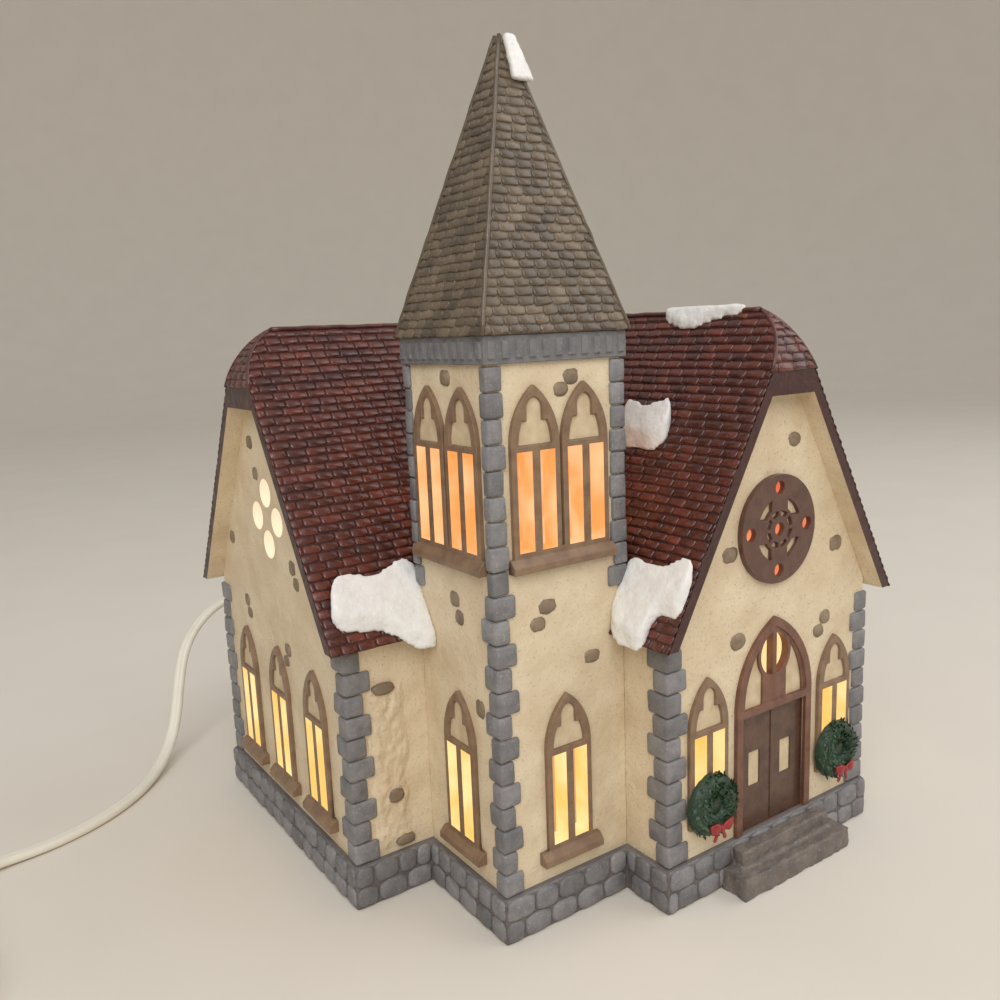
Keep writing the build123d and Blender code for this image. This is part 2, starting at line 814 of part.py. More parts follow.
def snow_on(wing, outline, depth=snow_depth):
    """Snow of even depth on a wing's slopes inside the outline, hanging a little over the eave."""
    low = eave_height - depth
    layer = wing(drop=-depth, base=low) & outline
    layer -= wing(drop=0.0, base=low - overrun, spare=overrun)
    layer = split(layer, bisect_by=Plane((0, 0, ridge_height + depth)), keep=Keep.BOTTOM)
    return layer - tower_block(top=2 * ridge_height)


def snow_patches():
    eave = eave_overhang + snow_depth
    left = snow_outline(
        left_eave_shares,
        (-left_reach - snow_depth, tower_depth - eave),
        (0, tower_depth + snow_reach),
    )
    front = snow_outline(
        front_eave_shares,
        (tower_width - eave, -front_reach - gable_overhang),
        (tower_width + snow_reach, 0),
    )
    drift_x = tower_width + drift_offset
    drift = snow_outline(
        drift_shares, (drift_x, drift_start), (drift_x + drift_run, drift_start + drift_length)
    )
    crest = snow_outline(
        crest_shares,
        (front_axis - crest_run, crest_start),
        (front_axis + crest_over, crest_start + crest_length),
    )
    top = tower_height + cornice_height + spire_height
    cap_box = block(
        (tower_width / 2, 0, top - cap_height), (tower_width, tower_depth, top + overrun)
    )
    cap = spire_volume(cap_depth, tip=spire_tip + 2 * cap_depth) & cap_box
    return {
        "snow_left_eave": snow_on(left_wing, left),
        "snow_front_eave": snow_on(front_wing, front),
        "snow_drift": snow_on(front_wing, drift),
        "snow_ridge": snow_on(front_wing, crest, crest_depth),
        "snow_spire": cap - spire_volume(),
    }


# Lamp


def lamp_plane():
    """The lamp's axis points out of the back wall; zero is the wall's outer face."""
    return face_plane((lamp_x, back_face, lamp_height), back_out)


def make_socket_body():
    """Flange outside the wall, barrel inside it, bored for the screw sleeve."""
    body = disc(flange_diameter, flange_thickness)
    body += Pos(0, 0, -barrel_length) * disc(barrel_diameter, barrel_length)
    bore = sleeve_length + contact_thickness
    body -= Pos(0, 0, -barrel_length - overrun) * disc(sleeve_diameter, bore + overrun)
    return body


def make_socket_cap():
    """A turned cap behind the flange, narrowing to the strain relief."""
    outline = [(0, 0), (cap_diameter / 2, 0), (cap_diameter / 2, cap_length / 3)]
    outline += [(cap_neck / 2, cap_length), (0, cap_length)]
    return Pos(0, 0, flange_thickness) * turned(outline)


def turned(outline):
    """A solid of revolution about Z from (radius, height) corners."""
    face = Plane.XZ * make_face(Polyline(*outline, close=True))
    return revolve(face, axis=Axis.Z)


def make_relief():
    """A tapered, grooved strain relief."""
    outline = [(0, 0), (relief_diameter / 2, 0), (relief_tip / 2, relief_length), (0, relief_length)]
    relief = turned(outline)
    pitch = relief_length / (relief_ribs + 1)
    for rib in range(1, relief_ribs + 1):
        height = rib * pitch
        radius = relief_diameter / 2 + (relief_tip - relief_diameter) / 2 * height / relief_length
        cut = tube(2 * radius + 2 * overrun, 2 * radius - relief_groove, pitch / 3)
        relief -= Pos(0, 0, height - pitch / 6) * cut
    return Pos(0, 0, flange_thickness + cap_length) * relief


def make_sleeve():
    bore = sleeve_diameter - 2 * sleeve_wall
    return Pos(0, 0, -barrel_length) * tube(sleeve_diameter, bore, sleeve_length)


def make_contact():
    """The centre contact at the bottom of the socket."""
    return Pos(0, 0, -barrel_length + sleeve_length) * disc(contact_diameter, contact_thickness)


def make_clip():
    """A spring band round the barrel with two arms whose knees catch behind the wall."""
    bore = barrel_diameter
    ring = tube(bore + 2 * clip_band, bore, clip_band_length)
    clip = Pos(0, 0, -clip_band_depth - clip_band_length) * ring
    start = bore / 2 + clip_band / 2
    knee = lamp_hole / 2 + clip_grip
    end = (bore / 2 + lamp_hole / 2) / 2 - clip_band
    path = Polyline(
        (start, -clip_band_depth - clip_band_length / 2),
        (knee, -wall - clip_knee_depth),
        (end, -clip_band),
    )
    strip = extrude(trace(path, clip_band), clip_width / 2, both=True)
    arm = Plane.XZ * strip
    keep = tube(4 * lamp_hole, bore, 2 * barrel_length)
    arm &= Pos(0, 0, -barrel_length * 2) * keep
    return clip + arm + mirror(arm, about=Plane.YZ)


def bulb_seat():
    """Where the bulb's tip meets the contact, as a height on the lamp's axis."""
    return -barrel_length + sleeve_length - base_tip - base_length


def make_bulb_base():
    """A screw base with its tip towards the contact and a rim that carries the glass."""
    rim = base_diameter / 2
    neck = glass_neck / 2
    outline = [(0, base_rim), (neck, base_rim), (neck, 0), (rim, 0), (rim, base_length)]
    outline += [(base_tip_diameter / 2, base_length), (base_tip_diameter / 2, base_length + base_tip)]
    outline += [(0, base_length + base_tip)]
    return Pos(0, 0, bulb_seat()) * turned(outline)


def glass_line(inset):
    """Half of the bulb's outline from its neck, by the widest place, to its tip."""
    neck = glass_neck / 2 - inset
    belly = glass_diameter / 2 - inset
    tip = glass_length - inset
    lower = Spline(
        (neck, 0), (belly, -glass_belly), tangents=[(0.3, -1), (0, -1)], tangent_scalars=[1.2, 1.2]
    )
    upper = Spline(
        (belly, -glass_belly), (0, -tip), tangents=[(0, -1), (-1, -0.35)], tangent_scalars=[1.2, 0.9]
    )
    return lower, upper, neck, tip


def glass_volume(inset):
    lower, upper, neck, tip = glass_line(inset)
    axis = Polyline((0, -tip), (0, 0), (neck, 0))
    face = make_face([*lower.edges(), *upper.edges(), *axis.edges()])
    return revolve(Plane.XZ * face, axis=Axis.Z)


def make_bulb_glass():
    shell = glass_volume(0.0) - glass_volume(glass_wall)
    collar = tube(glass_neck, glass_neck - 2 * glass_wall, base_rim)
    return Pos(0, 0, bulb_seat()) * (shell + collar)


def make_filament():
    """A glass stem, two leads and the wire between them."""
    stem = Pos(0, 0, -stem_length + base_rim) * Cone(
        stem_diameter / 4, stem_diameter / 2, stem_length, align=(Align.CENTER, Align.CENTER, Align.MIN)
    )
    half = lead_spread / 2
    root = (stem_diameter / 8, base_rim - stem_length + lead_diameter)
    ends = (half, base_rim - stem_length - lead_length)
    path = Polyline(root, ends)
    hang = ThreePointArc((-half, ends[1]), (0, ends[1] - filament_rise), (half, ends[1]))
    wires = trace(path, lead_diameter) + trace(mirror(path, about=Plane.YZ), lead_diameter)
    wires += trace(hang, lead_diameter)
    frame = Plane.XZ * extrude(wires, lead_diameter / 2, both=True)
    return Pos(0, 0, bulb_seat()) * (stem + frame)


# Cord


def route_path(points):
    """Straight runs joined by the largest even arcs that they leave room for."""
    points = [Vector(*point) for point in points]
    radii = []
    for before, here, after in zip(points, points[1:], points[2:]):
        first, second = here - before, after - here
        half_turn = radians(first.get_angle(second)) / 2
        radii.append(bend_share * min(first.length, second.length) / tan(half_turn))
    print("cord radii", [round(radius, 1) for radius in radii])
    return FilletPolyline(*points, radius=radii)


def cord_tube(path, name):
    start = path @ 0
    section = Plane(origin=start, z_dir=path % 0) * Circle(cord / 2)
    solid = sweep(section, path=path)
    expected = pi * cord * cord / 4 * path.length
    print(name, "length", round(path.length, 1), "volume share", round(solid.volume / expected, 4))
    return solid


def coil_places():
    """Heights and middle of the coil. It starts beside the switch's line and winds clockwise."""
    pitch = cord + coil_gap
    low = coil_lift + cord / 2
    start_x = cord_route[-1][0]
    outer = coil_middle / 2 + coil_turns * pitch / 2
    return pitch, low, outer, Vector(start_x - outer, coil_centre_y, 0)


def coil_point(turns):
    """A point of the coil and its direction, after that many turns from the start."""
    pitch, low, outer, middle = coil_places()
    inner = outer - coil_turns * pitch
    slope = pitch / (2 * pi)
    climb = (turns - coil_turns) * 2
    if climb <= 0:
        radius, rate, height, lift = outer - turns * pitch, -slope, low, 0.0
    elif climb < 1:
        radius = inner - slope * pi * (climb - climb * climb)
        rate = -slope * (1 - 2 * climb)
        height = low + pitch * (3 * climb**2 - 2 * climb**3)
        lift = pitch * (6 * climb - 6 * climb**2) / pi
    else:
        radius = inner + (turns - coil_turns - 0.5) * pitch
        rate, height, lift = slope, low + pitch, 0.0
    angle = -turns * 2 * pi
    out = Vector(cos(angle), sin(angle), 0)
    along = Vector(sin(angle), -cos(angle), 0)
    point = middle + out * radius + Vector(0, 0, height)
    return point, (along * radius + out * rate + Vector(0, 0, lift)).normalized()


def biarc(start, start_way, end, end_way):
    """Two arcs, tangent to each other and to the given ways at both ends."""
    gap = end - start
    both = start_way + end_way
    spread = 2 * (1 - start_way.dot(end_way))
    reach = (-gap.dot(both) + sqrt(gap.dot(both) ** 2 + spread * gap.dot(gap))) / spread
    meet = (start + end + (start_way - end_way) * reach) / 2
    way = (end - end_way * reach) - (start + start_way * reach)
    return [TangentArc(start, meet, tangent=start_way), TangentArc(meet, end, tangent=way)]


def coil_path():
    """The whole coil on biarcs of a quarter turn, with a straight at each end."""
    quarters = round((2 * coil_turns + 0.5) * 4)
    stations = [coil_point(step / 4) for step in range(quarters + 1)]
    first, way = stations[0]
    last, last_way = stations[-1]
    edges = [Line(first - way * cord, first)]
    for (start, start_way), (end, end_way) in zip(stations, stations[1:]):
        edges += biarc(start, start_way, end, end_way)
    edges.append(Line(last, last + last_way * cord))
    return Wire(edges)


def coil_clearance(path):
    """The least gap of the coil to itself, measured on points along it."""
    count = ceil(path.length / (cord / 4))
    points = [path @ (step / count) for step in range(count + 1)]
    apart = ceil(pi * coil_middle / 2 / (path.length / count))
    least = min(
        (points[one] - points[two]).length
        for one in range(0, count, 2)
        for two in range(one + apart, count, 2)
    )
    return least - cord


def make_link():
    """The cord from the switch to the coil: level, down a little, level."""
    entry = Vector(*cord_route[-1])
    start = entry - Vector(0, switch_length, 0)
    first, way = coil_point(0)
    end = first - way * cord
    points = [start, start - Vector(0, link_run, 0), end - way * link_run, end]
    return cord_tube(route_path(points), "cord_link")


def tail_ends():
    """Where the cord leaves the coil and where it goes into the plug."""
    last, way = coil_point(2 * coil_turns + 0.5)
    start = last + way * cord
    return start, start + way * tail_length


def make_tail():
    return cord_tube(Wire([Line(*tail_ends())]), "cord_tail")


def make_tie():
    """A flat tie round all the turns, on the side of the coil away from the plug."""
    pitch, low, outer, middle = coil_places()
    spread = coil_turns * pitch + cord + 2 * tie_clearance
    high = pitch + cord + 2 * tie_clearance
    inner_section = Rectangle(spread, high)
    outer_section = Rectangle(spread + 2 * tie_thickness, high + 2 * tie_thickness)
    band = extrude(outer_section - inner_section, tie_width / 2, both=True)
    centre = middle + Vector(0, -coil_middle / 2, low + pitch / 2)
    plane = Plane(origin=centre, x_dir=(0, 1, 0), z_dir=(1, 0, 0))
    return plane * band


# In-line switch


def switch_plane():
    """On the cord's line, level, with X along the cord towards the coil."""
    x, y, z = cord_route[-1]
    return Plane(origin=(x, y - switch_length / 2, z), x_dir=(0, -1, 0), z_dir=(0, 0, 1))


def switch_half(height):
    outline = RectangleRounded(switch_length, switch_width, switch_corner)
    half = extrude(outline, height)
    room = Pos(0, wheel_offset, 0) * disc(
        wheel_diameter + 2 * wheel_clearance, wheel_thickness / 2 + wheel_clearance
    )
    return half - room


def screw_places():
    reach = switch_length / 2 - screw_inset
    return [(-reach, -wheel_offset / 2), (reach, -wheel_offset / 2)]


def make_switch_cover():
    cover = switch_half(switch_height / 2)
    top = cover.faces().sort_by(Axis.Z)[-1]
    cover = chamfer(top.outer_wire().edges(), switch_shell)
    cover -= disc_at(0, wheel_offset, -overrun, wheel_pin, switch_height / 2 - switch_shell + overrun)
    for x, y in screw_places():
        cover -= disc_at(x, y, -overrun, screw_diameter, switch_height)
        cover -= disc_at(x, y, switch_height / 2 - screw_head_height, screw_head, switch_height)
    return switch_plane() * cover


def disc_at(x, y, z, diameter, length):
    return Pos(x, y, z) * disc(diameter, length)


def make_switch_base():
    base = mirror(switch_half(switch_height / 2), about=Plane.XY)
    bottom = base.faces().sort_by(Axis.Z)[0]
    base = chamfer(bottom.outer_wire().edges(), switch_shell)
    depth = switch_height / 2 - switch_shell
    base -= disc_at(0, wheel_offset, -depth, wheel_pin, switch_height)
    for x, y in screw_places():
        base -= disc_at(x, y, -depth, screw_diameter, switch_height)
    return switch_plane() * base


def make_switch_wheel():
    """A knurled wheel on its own pin, standing out of the switch's side."""
    wheel = Pos(0, 0, -wheel_thickness / 2) * disc(wheel_diameter, wheel_thickness)
    groove = disc(2 * wheel_knurl_depth, 2 * wheel_thickness)
    for knurl in range(wheel_knurls):
        cut = Pos(wheel_diameter / 2, 0, -wheel_thickness) * groove
        wheel -= Rot(0, 0, knurl * 360 / wheel_knurls) * cut
    reach = switch_height / 2 - switch_shell - fit_clearance
    wheel += Pos(0, 0, -reach) * disc(wheel_pin - fit_clearance, 2 * reach)
    return switch_plane() * Pos(0, wheel_offset, 0) * wheel


def make_switch_screws():
    depth = switch_height / 2 - switch_shell
    screws = []
    for x, y in screw_places():
        head = disc_at(x, y, switch_height / 2 - screw_head_height, screw_head, screw_head_height)
        shank = disc_at(x, y, -depth, screw_diameter, depth + switch_height / 2 - screw_head_height)
        screws.append(switch_plane() * (head + shank))
    return Compound(children=screws)


# Plug


def plug_plane():
    """X across the plug, Z out along its blades."""
    start, end = tail_ends()
    way = (end - start).normalized()
    return Plane(origin=end, x_dir=way.cross(Vector(0, 0, 1)), z_dir=way)


def make_plug_body():
    """A moulded body that widens from the cord to its face, lying on the floor."""
    high = 2 * plug_plane().origin.Z
    waist_width, waist_high = plug_width * plug_waist_share, high * plug_waist_share
    nose = RectangleRounded(plug_width / 2, high / 2, plug_corner / 2)
    waist = Pos(0, 0, plug_nose) * RectangleRounded(waist_width, waist_high, plug_corner)
    grip = Pos(0, 0, plug_length / 2) * RectangleRounded(plug_width, high, plug_corner)
    face = Pos(0, 0, plug_length) * RectangleRounded(plug_width, high, plug_corner)
    body = loft([nose, waist, grip, face], ruled=True)
    for x, y in blade_places():
        seat = Rectangle(blade_thickness, blade_width)
        body -= Pos(x, y, plug_length - blade_seat) * extrude(seat, blade_seat + overrun)
    return plug_plane() * body


def blade_places():
    return [(-blade_pitch / 2, 0), (blade_pitch / 2, 0)]


def make_plug_blades():
    blades = []
    for x, y in blade_places():
        blade = extrude(Rectangle(blade_thickness, blade_width), blade_length + blade_seat)
        blades.append(plug_plane() * Pos(x, y, plug_length - blade_seat) * blade)
    return Compound(children=blades)


def house_pieces():
    """The ceramic object and its lamp, without the cord."""
    on_lamp = lamp_plane()
    pieces = {
        "wall_shell": make_walls(),
        "tower_shell": make_tower(),
        "main_roof": make_roof(),
        "tower_cornice": make_cornice(),
        "spire": make_spire(),
        "stone_plinth": make_plinth(),
        "front_steps": make_steps(),
        "rose_window": make_rose(),
        "door_surround": make_door_surround(),
        "door_leaves": make_door_leaves(),
    }
    pieces |= quoins()
    pieces |= window_frames()
    pieces |= wreaths()
    pieces |= snow_patches()
    pieces |= {
        "socket_body": on_lamp * make_socket_body(),
        "socket_cap": on_lamp * make_socket_cap(),
        "screw_sleeve": on_lamp * make_sleeve(),
        "centre_contact": on_lamp * make_contact(),
        "spring_clip": on_lamp * make_clip(),
        "bulb_base": on_lamp * make_bulb_base(),
        "bulb_glass": on_lamp * make_bulb_glass(),
        "bulb_filament": on_lamp * make_filament(),
    }
    return pieces


def cord_pieces():
    """The cord, with everything on it."""
    coil = coil_path()
    print("coil gap", round(coil_clearance(coil), 2))
    return {
        "strain_relief": lamp_plane() * make_relief(),
        "cord_run": cord_tube(route_path(cord_route), "cord_run"),
        "cord_link": make_link(),
        "cord_coil": cord_tube(coil, "cord_coil"),
        "cord_tail": make_tail(),
        "cord_tie": make_tie(),
        "switch_base": make_switch_base(),
        "switch_cover": make_switch_cover(),
        "switch_wheel": make_switch_wheel(),
        "switch_screws": make_switch_screws(),
        "plug_body": make_plug_body(),
        "plug_blades": make_plug_blades(),
    }


house = house_pieces()
boxes = [piece.bounding_box() for piece in house.values()]
middle_x = (min(box.min.X for box in boxes) + max(box.max.X for box in boxes)) / 2
middle_y = (min(box.min.Y for box in boxes) + max(box.max.Y for box in boxes)) / 2
print("origin at", middle_x, middle_y)
os.makedirs("parts", exist_ok=True)
for node, piece in (house | cord_pieces()).items():
    export_step(Pos(-middle_x, -middle_y, 0) * piece, f"parts/{node}.step")
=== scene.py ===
"""Looks of a lit ceramic village church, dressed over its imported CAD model."""

import json
import random
from math import asin, ceil, cos, pi, radians, sin

import bmesh
import bpy
from mathutils import Matrix, Vector, noise

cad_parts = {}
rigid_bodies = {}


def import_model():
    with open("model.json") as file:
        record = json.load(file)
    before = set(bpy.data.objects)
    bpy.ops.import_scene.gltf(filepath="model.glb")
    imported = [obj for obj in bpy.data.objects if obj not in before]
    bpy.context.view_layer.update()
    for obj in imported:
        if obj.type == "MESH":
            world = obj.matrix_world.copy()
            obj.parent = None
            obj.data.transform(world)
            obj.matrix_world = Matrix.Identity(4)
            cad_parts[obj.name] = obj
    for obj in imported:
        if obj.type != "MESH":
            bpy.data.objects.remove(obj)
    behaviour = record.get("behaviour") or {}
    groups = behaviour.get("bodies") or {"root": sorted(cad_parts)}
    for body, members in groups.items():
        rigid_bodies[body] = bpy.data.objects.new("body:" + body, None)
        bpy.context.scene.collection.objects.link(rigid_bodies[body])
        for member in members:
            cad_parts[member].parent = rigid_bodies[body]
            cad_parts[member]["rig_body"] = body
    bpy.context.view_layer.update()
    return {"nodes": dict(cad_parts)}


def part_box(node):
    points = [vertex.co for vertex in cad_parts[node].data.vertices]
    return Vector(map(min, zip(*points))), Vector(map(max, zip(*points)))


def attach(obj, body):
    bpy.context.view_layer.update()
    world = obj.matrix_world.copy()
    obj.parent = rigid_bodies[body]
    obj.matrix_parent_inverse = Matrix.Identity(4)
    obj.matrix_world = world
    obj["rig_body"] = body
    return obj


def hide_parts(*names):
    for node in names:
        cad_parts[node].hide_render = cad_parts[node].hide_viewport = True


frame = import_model()
nodes = frame["nodes"]
draw = random.Random(11).uniform
MM = 0.001
UP = Vector((0, 0, 1))
OUTWARD = Vector((0, -1, 0))  # out of the front wall
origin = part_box("tower_shell")[0]  # the tower's near corner, on the floor

# Places below are millimetres from the tower's near corner: X right, Y back, Z up.


def at(place):
    """A place in millimetres, in the row frame."""
    return Vector((origin.x + place[0] * MM, origin.y + place[1] * MM, place[2] * MM))


def in_mm(point):
    return Vector(((point[0] - origin.x) / MM, (point[1] - origin.y) / MM, point[2] / MM))


def node_box(node):
    return [in_mm(corner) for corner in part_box(node)]


tower = node_box("tower_shell")[1]
wall_low, wall_high = node_box("wall_shell")
roof_low, roof_high = node_box("main_roof")
plinth_low, plinth_high = node_box("stone_plinth")
spire_low, spire_high = node_box("spire")
overhang = roof_high.x - wall_high.x
ridge_x = (tower.x + wall_high.x) / 2
ridge_y = (tower.y + wall_high.y) / 2
eave = roof_low.z
ridge = roof_high.z
TOUCH = 0.05  # what is closer than this lies on one plane
SKIN = 0.2  # how far a face may lie from the plane that it is taken for
WALL = 4.0
HIP_DROP = 16.5
HIP_SETBACK = 11.6
HIP_BULGE = 2.8
HIP_COURSES = 9
COURSES = 38
SPIRE_COURSES = 33
SPIRE_TIP = 0.8
FRAME_PROUD = 1.3
HEAD_DEPTH = 0.8
ROSE_PROUD = 0.6
PANE_DEPTH = 1.1
LANCET = 15.0
ARCH_RISE = 14.8
TRANSOM = 1.4
LIGHT_HEIGHT = 25.4
BELFRY_MARGIN = 3.6
BELFRY_JOIN = 0.8

# Materials

COAT_ROUGH = 0.12
PATCH_SPAN = (0.36, 0.68)
SPECK_SPAN = (0.6, 0.72)
SPECK_COVER = 0.75
GLOSS_SPAN = (0.3, 0.7)
GLOSS_PATCH_SHARE = 0.6
GLOW_SPAN = (0.38, 0.62)
FACTOR, FIRST, SECOND, MIXED = 0, 6, 7, 2  # sockets of a colour mix


def linear(colour):
    """A colour as seen on a screen, 0 to 255, as linear light."""
    light = []
    for value in colour:
        share = value / 255
        light.append(share / 12.92 if share <= 0.04045 else ((share + 0.055) / 1.055) ** 2.4)
    return (*light, 1.0)


def noise_at(tree, coordinates, size, detail):
    """A noise whose blobs are about that many millimetres across."""
    node = tree.nodes.new("ShaderNodeTexNoise")
    node.inputs["Scale"].default_value = 1 / (size * MM)
    node.inputs["Detail"].default_value = detail
    tree.links.new(coordinates, node.inputs["Vector"])
    return node.outputs["Fac"]


def spread(tree, value, span, to_low, to_high):
    """Stretches a span of a value to another one."""
    node = tree.nodes.new("ShaderNodeMapRange")
    limits = {"From Min": span[0], "From Max": span[1], "To Min": to_low, "To Max": to_high}
    for socket, limit in limits.items():
        node.inputs[socket].default_value = limit
    tree.links.new(value, node.inputs["Value"])
    return node.outputs["Result"]


def blend_colours(tree, factor, first, second, kind="MIX"):
    """Mixes two colours. Each is a colour or an output of another node."""
    node = tree.nodes.new("ShaderNodeMix")
    node.data_type = "RGBA"
    node.blend_type = kind
    for socket, value in ((FACTOR, factor), (FIRST, first), (SECOND, second)):
        if isinstance(value, bpy.types.NodeSocket):
            tree.links.new(value, node.inputs[socket])
        else:
            node.inputs[socket].default_value = value
    return node.outputs[MIXED]


def paint(
    name, colour, second, patch, cover=0.6, speck=None, speck_size=0.8, rough=0.55, rough_spread=0.12,
    coat=0.0, metal=0.0, grain=0.0, grain_size=0.7, lumps=0.0, lump_size=3.0, toned=False, glow=None,
    dim=None, strength=0.0,
):
    """A painted or glazed surface: two colours in soft patches, specks, grain and uneven gloss.

    glow is the light that it gives off, and dim its colour in some patches. Sizes are millimetres.
    """
    material = bpy.data.materials.new(name)
    material.use_nodes = True
    tree = material.node_tree
    shader = tree.nodes["Principled BSDF"]
    constants = {"Base Color": linear(colour), "Metallic": metal}
    constants |= {"Coat Weight": coat, "Coat Roughness": COAT_ROUGH}
    if glow:
        constants["Emission Color"] = linear(glow)
        constants["Emission Strength"] = strength
    for socket, value in constants.items():
        shader.inputs[socket].default_value = value
    coordinates = tree.nodes.new("ShaderNodeTexCoord").outputs["Object"]

    def blobs(size, detail):
        return noise_at(tree, coordinates, size, detail)

    patches = spread(tree, blobs(patch, 4.0), PATCH_SPAN, 0.0, cover)
    mixed = blend_colours(tree, patches, linear(colour), linear(second))
    if speck:
        specks = spread(tree, blobs(speck_size, 2.0), SPECK_SPAN, 0.0, SPECK_COVER)
        mixed = blend_colours(tree, specks, mixed, linear(speck))
    if toned:
        tone = tree.nodes.new("ShaderNodeAttribute")
        tone.attribute_name = "tone"
        mixed = blend_colours(tree, 1.0, mixed, tone.outputs["Color"], "MULTIPLY")
    tree.links.new(mixed, shader.inputs["Base Color"])
    gloss = blobs(patch * GLOSS_PATCH_SHARE, 3.0)
    uneven = spread(tree, gloss, GLOSS_SPAN, rough - rough_spread, rough + rough_spread)
    tree.links.new(uneven, shader.inputs["Roughness"])
    normal = None
    for height, size, detail in ((lumps, lump_size, 2.0), (grain, grain_size, 3.0)):
        if height:
            bump = tree.nodes.new("ShaderNodeBump")
            bump.inputs["Strength"].default_value = 1.0
            bump.inputs["Distance"].default_value = height * MM
            tree.links.new(blobs(size, detail), bump.inputs["Height"])
            if normal:
                tree.links.new(normal, bump.inputs["Normal"])
            normal = bump.outputs["Normal"]
    if normal:
        tree.links.new(normal, shader.inputs["Normal"])
    if dim:
        shine = spread(tree, blobs(patch, 2.0), GLOW_SPAN, 0.0, 1.0)
        shown = blend_colours(tree, shine, linear(glow), linear(dim))
        tree.links.new(shown, shader.inputs["Emission Color"])
    return material


cream = paint(
    "wall_ceramic", (225, 208, 178), (203, 181, 148), 14.0, 0.7, (186, 163, 132), 0.7, rough=0.56,
    coat=0.06, grain=0.16, grain_size=0.8, lumps=0.7, lump_size=6.0,
)
recess_cream = paint(
    "recess_ceramic", (214, 195, 163), (190, 165, 130), 4.0, 0.7, rough=0.6, grain=0.12
)
# Painted light: room_glow, lamp_glow, attic_glow and belfry_glow are warm colours that give off light.
# They lie on the inner faces of the walls, roofs and tower and on the sides of the openings, as if the
# bulb lit them; these faces are no lamps.
room_glow = paint(
    "room_glow", (178, 142, 96), (162, 126, 82), 14.0, rough=0.8, glow=(255, 240, 176),
    dim=(255, 208, 112), strength=0.72,
)
lamp_glow = paint(
    "lamp_glow", (200, 180, 150), (188, 166, 134), 20.0, rough=0.8, glow=(255, 250, 228), strength=0.5
)
attic_glow = paint(
    "attic_glow", (158, 96, 64), (140, 82, 54), 12.0, rough=0.8, glow=(255, 166, 112),
    dim=(240, 96, 74), strength=0.66,
)
belfry_glow = paint(
    "belfry_glow", (172, 116, 74), (158, 100, 60), 12.0, rough=0.8, glow=(255, 214, 158),
    dim=(255, 174, 96), strength=0.7,
)
roof_glaze = paint(
    "roof_glaze", (98, 47, 37), (66, 31, 28), 6.0, 0.85, (128, 70, 52), 0.9, rough=0.34, coat=0.35,
    grain=0.08, toned=True,
)
roof_edge = paint(
    "roof_edge", (70, 33, 29), (50, 25, 24), 6.0, 0.8, rough=0.42, coat=0.12, grain=0.12,
    grain_size=0.9, lumps=0.4,
)
spire_glaze = paint(
    "spire_glaze", (104, 90, 72), (80, 66, 54), 9.0, 0.8, (130, 112, 88), 0.9, rough=0.38, coat=0.25,
    grain=0.08, toned=True,
)
stone = paint(
    "stone_grey", (136, 134, 135), (108, 107, 110), 4.0, 0.8, (160, 153, 144), 0.7, coat=0.08,
    grain=0.16, lumps=0.35, lump_size=2.4, toned=True,
)
mortar = paint("mortar", (112, 104, 98), (90, 84, 82), 4.0, 0.8, rough=0.66, grain=0.16)
cornice_stone = paint(
    "cornice_stone", (122, 121, 122), (98, 98, 102), 5.0, 0.8, (146, 140, 132), coat=0.08, grain=0.14,
    lumps=0.3,
)
step_stone = paint(
    "step_stone", (122, 112, 104), (94, 88, 86), 6.0, 0.8, (150, 140, 128), rough=0.58, grain=0.16,
    grain_size=0.8, lumps=0.5,
)
taupe = paint(
    "frame_taupe", (140, 113, 88), (112, 88, 68), 4.0, 0.8, rough=0.46, coat=0.12, grain=0.12,
    lumps=0.25, lump_size=2.5,
)
wood = {"cover": 0.8, "rough": 0.42, "coat": 0.2, "grain": 0.12, "grain_size": 0.8}
door_paint = paint("door_brown", (96, 68, 52), (70, 48, 38), 4.0, **wood)
arch_paint = paint("arch_brown", (122, 82, 62), (94, 60, 46), 4.0, **wood)
rose_paint = paint("rose_brown", (98, 66, 52), (76, 48, 40), 4.0, **wood)
patch_stone = paint(
    "patch_stone", (148, 128, 104), (116, 100, 84), 2.5, 0.8, rough=0.52, coat=0.08, grain=0.14,
    toned=True,
)
wreath_green = paint(
    "wreath_green", (48, 78, 52), (30, 54, 38), 1.8, 0.8, (84, 112, 72), 0.7, rough=0.48, coat=0.1,
    grain=0.1, grain_size=0.4, toned=True,
)
ribbon_red = paint(
    "ribbon_red", (158, 38, 36), (116, 24, 26), 2.0, 0.7, rough=0.38, coat=0.25, grain=0.06,
    grain_size=0.4,
)
snow_white = paint(
    "snow_white", (240, 239, 236), (224, 222, 220), 5.0, rough=0.5, coat=0.1, grain=0.14,
    grain_size=0.8, lumps=0.3, lump_size=2.6,
)
lamp_white = paint(
    "lamp_white", (236, 234, 226), (226, 223, 214), 10.0, rough=0.36, rough_spread=0.06, grain=0.03,
    grain_size=0.5,
)
cord_white = paint(
    "cord_white", (236, 231, 217), (224, 218, 202), 12.0, rough=0.42, rough_spread=0.06, grain=0.04,
    grain_size=0.6,
)
wheel_paint = paint(
    "switch_wheel", (222, 216, 202), (206, 199, 184), 5.0, rough=0.4, rough_spread=0.06, grain=0.04,
    grain_size=0.5,
)
tie_black = paint("tie_black", (32, 32, 34), (46, 46, 48), 2.0, rough=0.5, grain=0.06, grain_size=0.6)
bare_metal = {"rough": 0.3, "rough_spread": 0.08, "metal": 1.0, "grain": 0.03, "grain_size": 0.4}
steel = paint("spring_steel", (186, 188, 192), (164, 166, 170), 3.0, **bare_metal)
brass = paint("brass", (206, 172, 102), (180, 144, 82), 3.0, **bare_metal)
bulb_glow = paint(
    "bulb_glass", (250, 240, 218), (244, 230, 200), 12.0, rough=0.3, rough_spread=0.06,
    glow=(255, 226, 160), strength=1.0,
)
wire_glow = paint(
    "bulb_wire", (200, 180, 140), (180, 160, 120), 2.0, rough=0.4, metal=0.6, glow=(255, 214, 130),
    strength=4.0,
)

# Building pieces

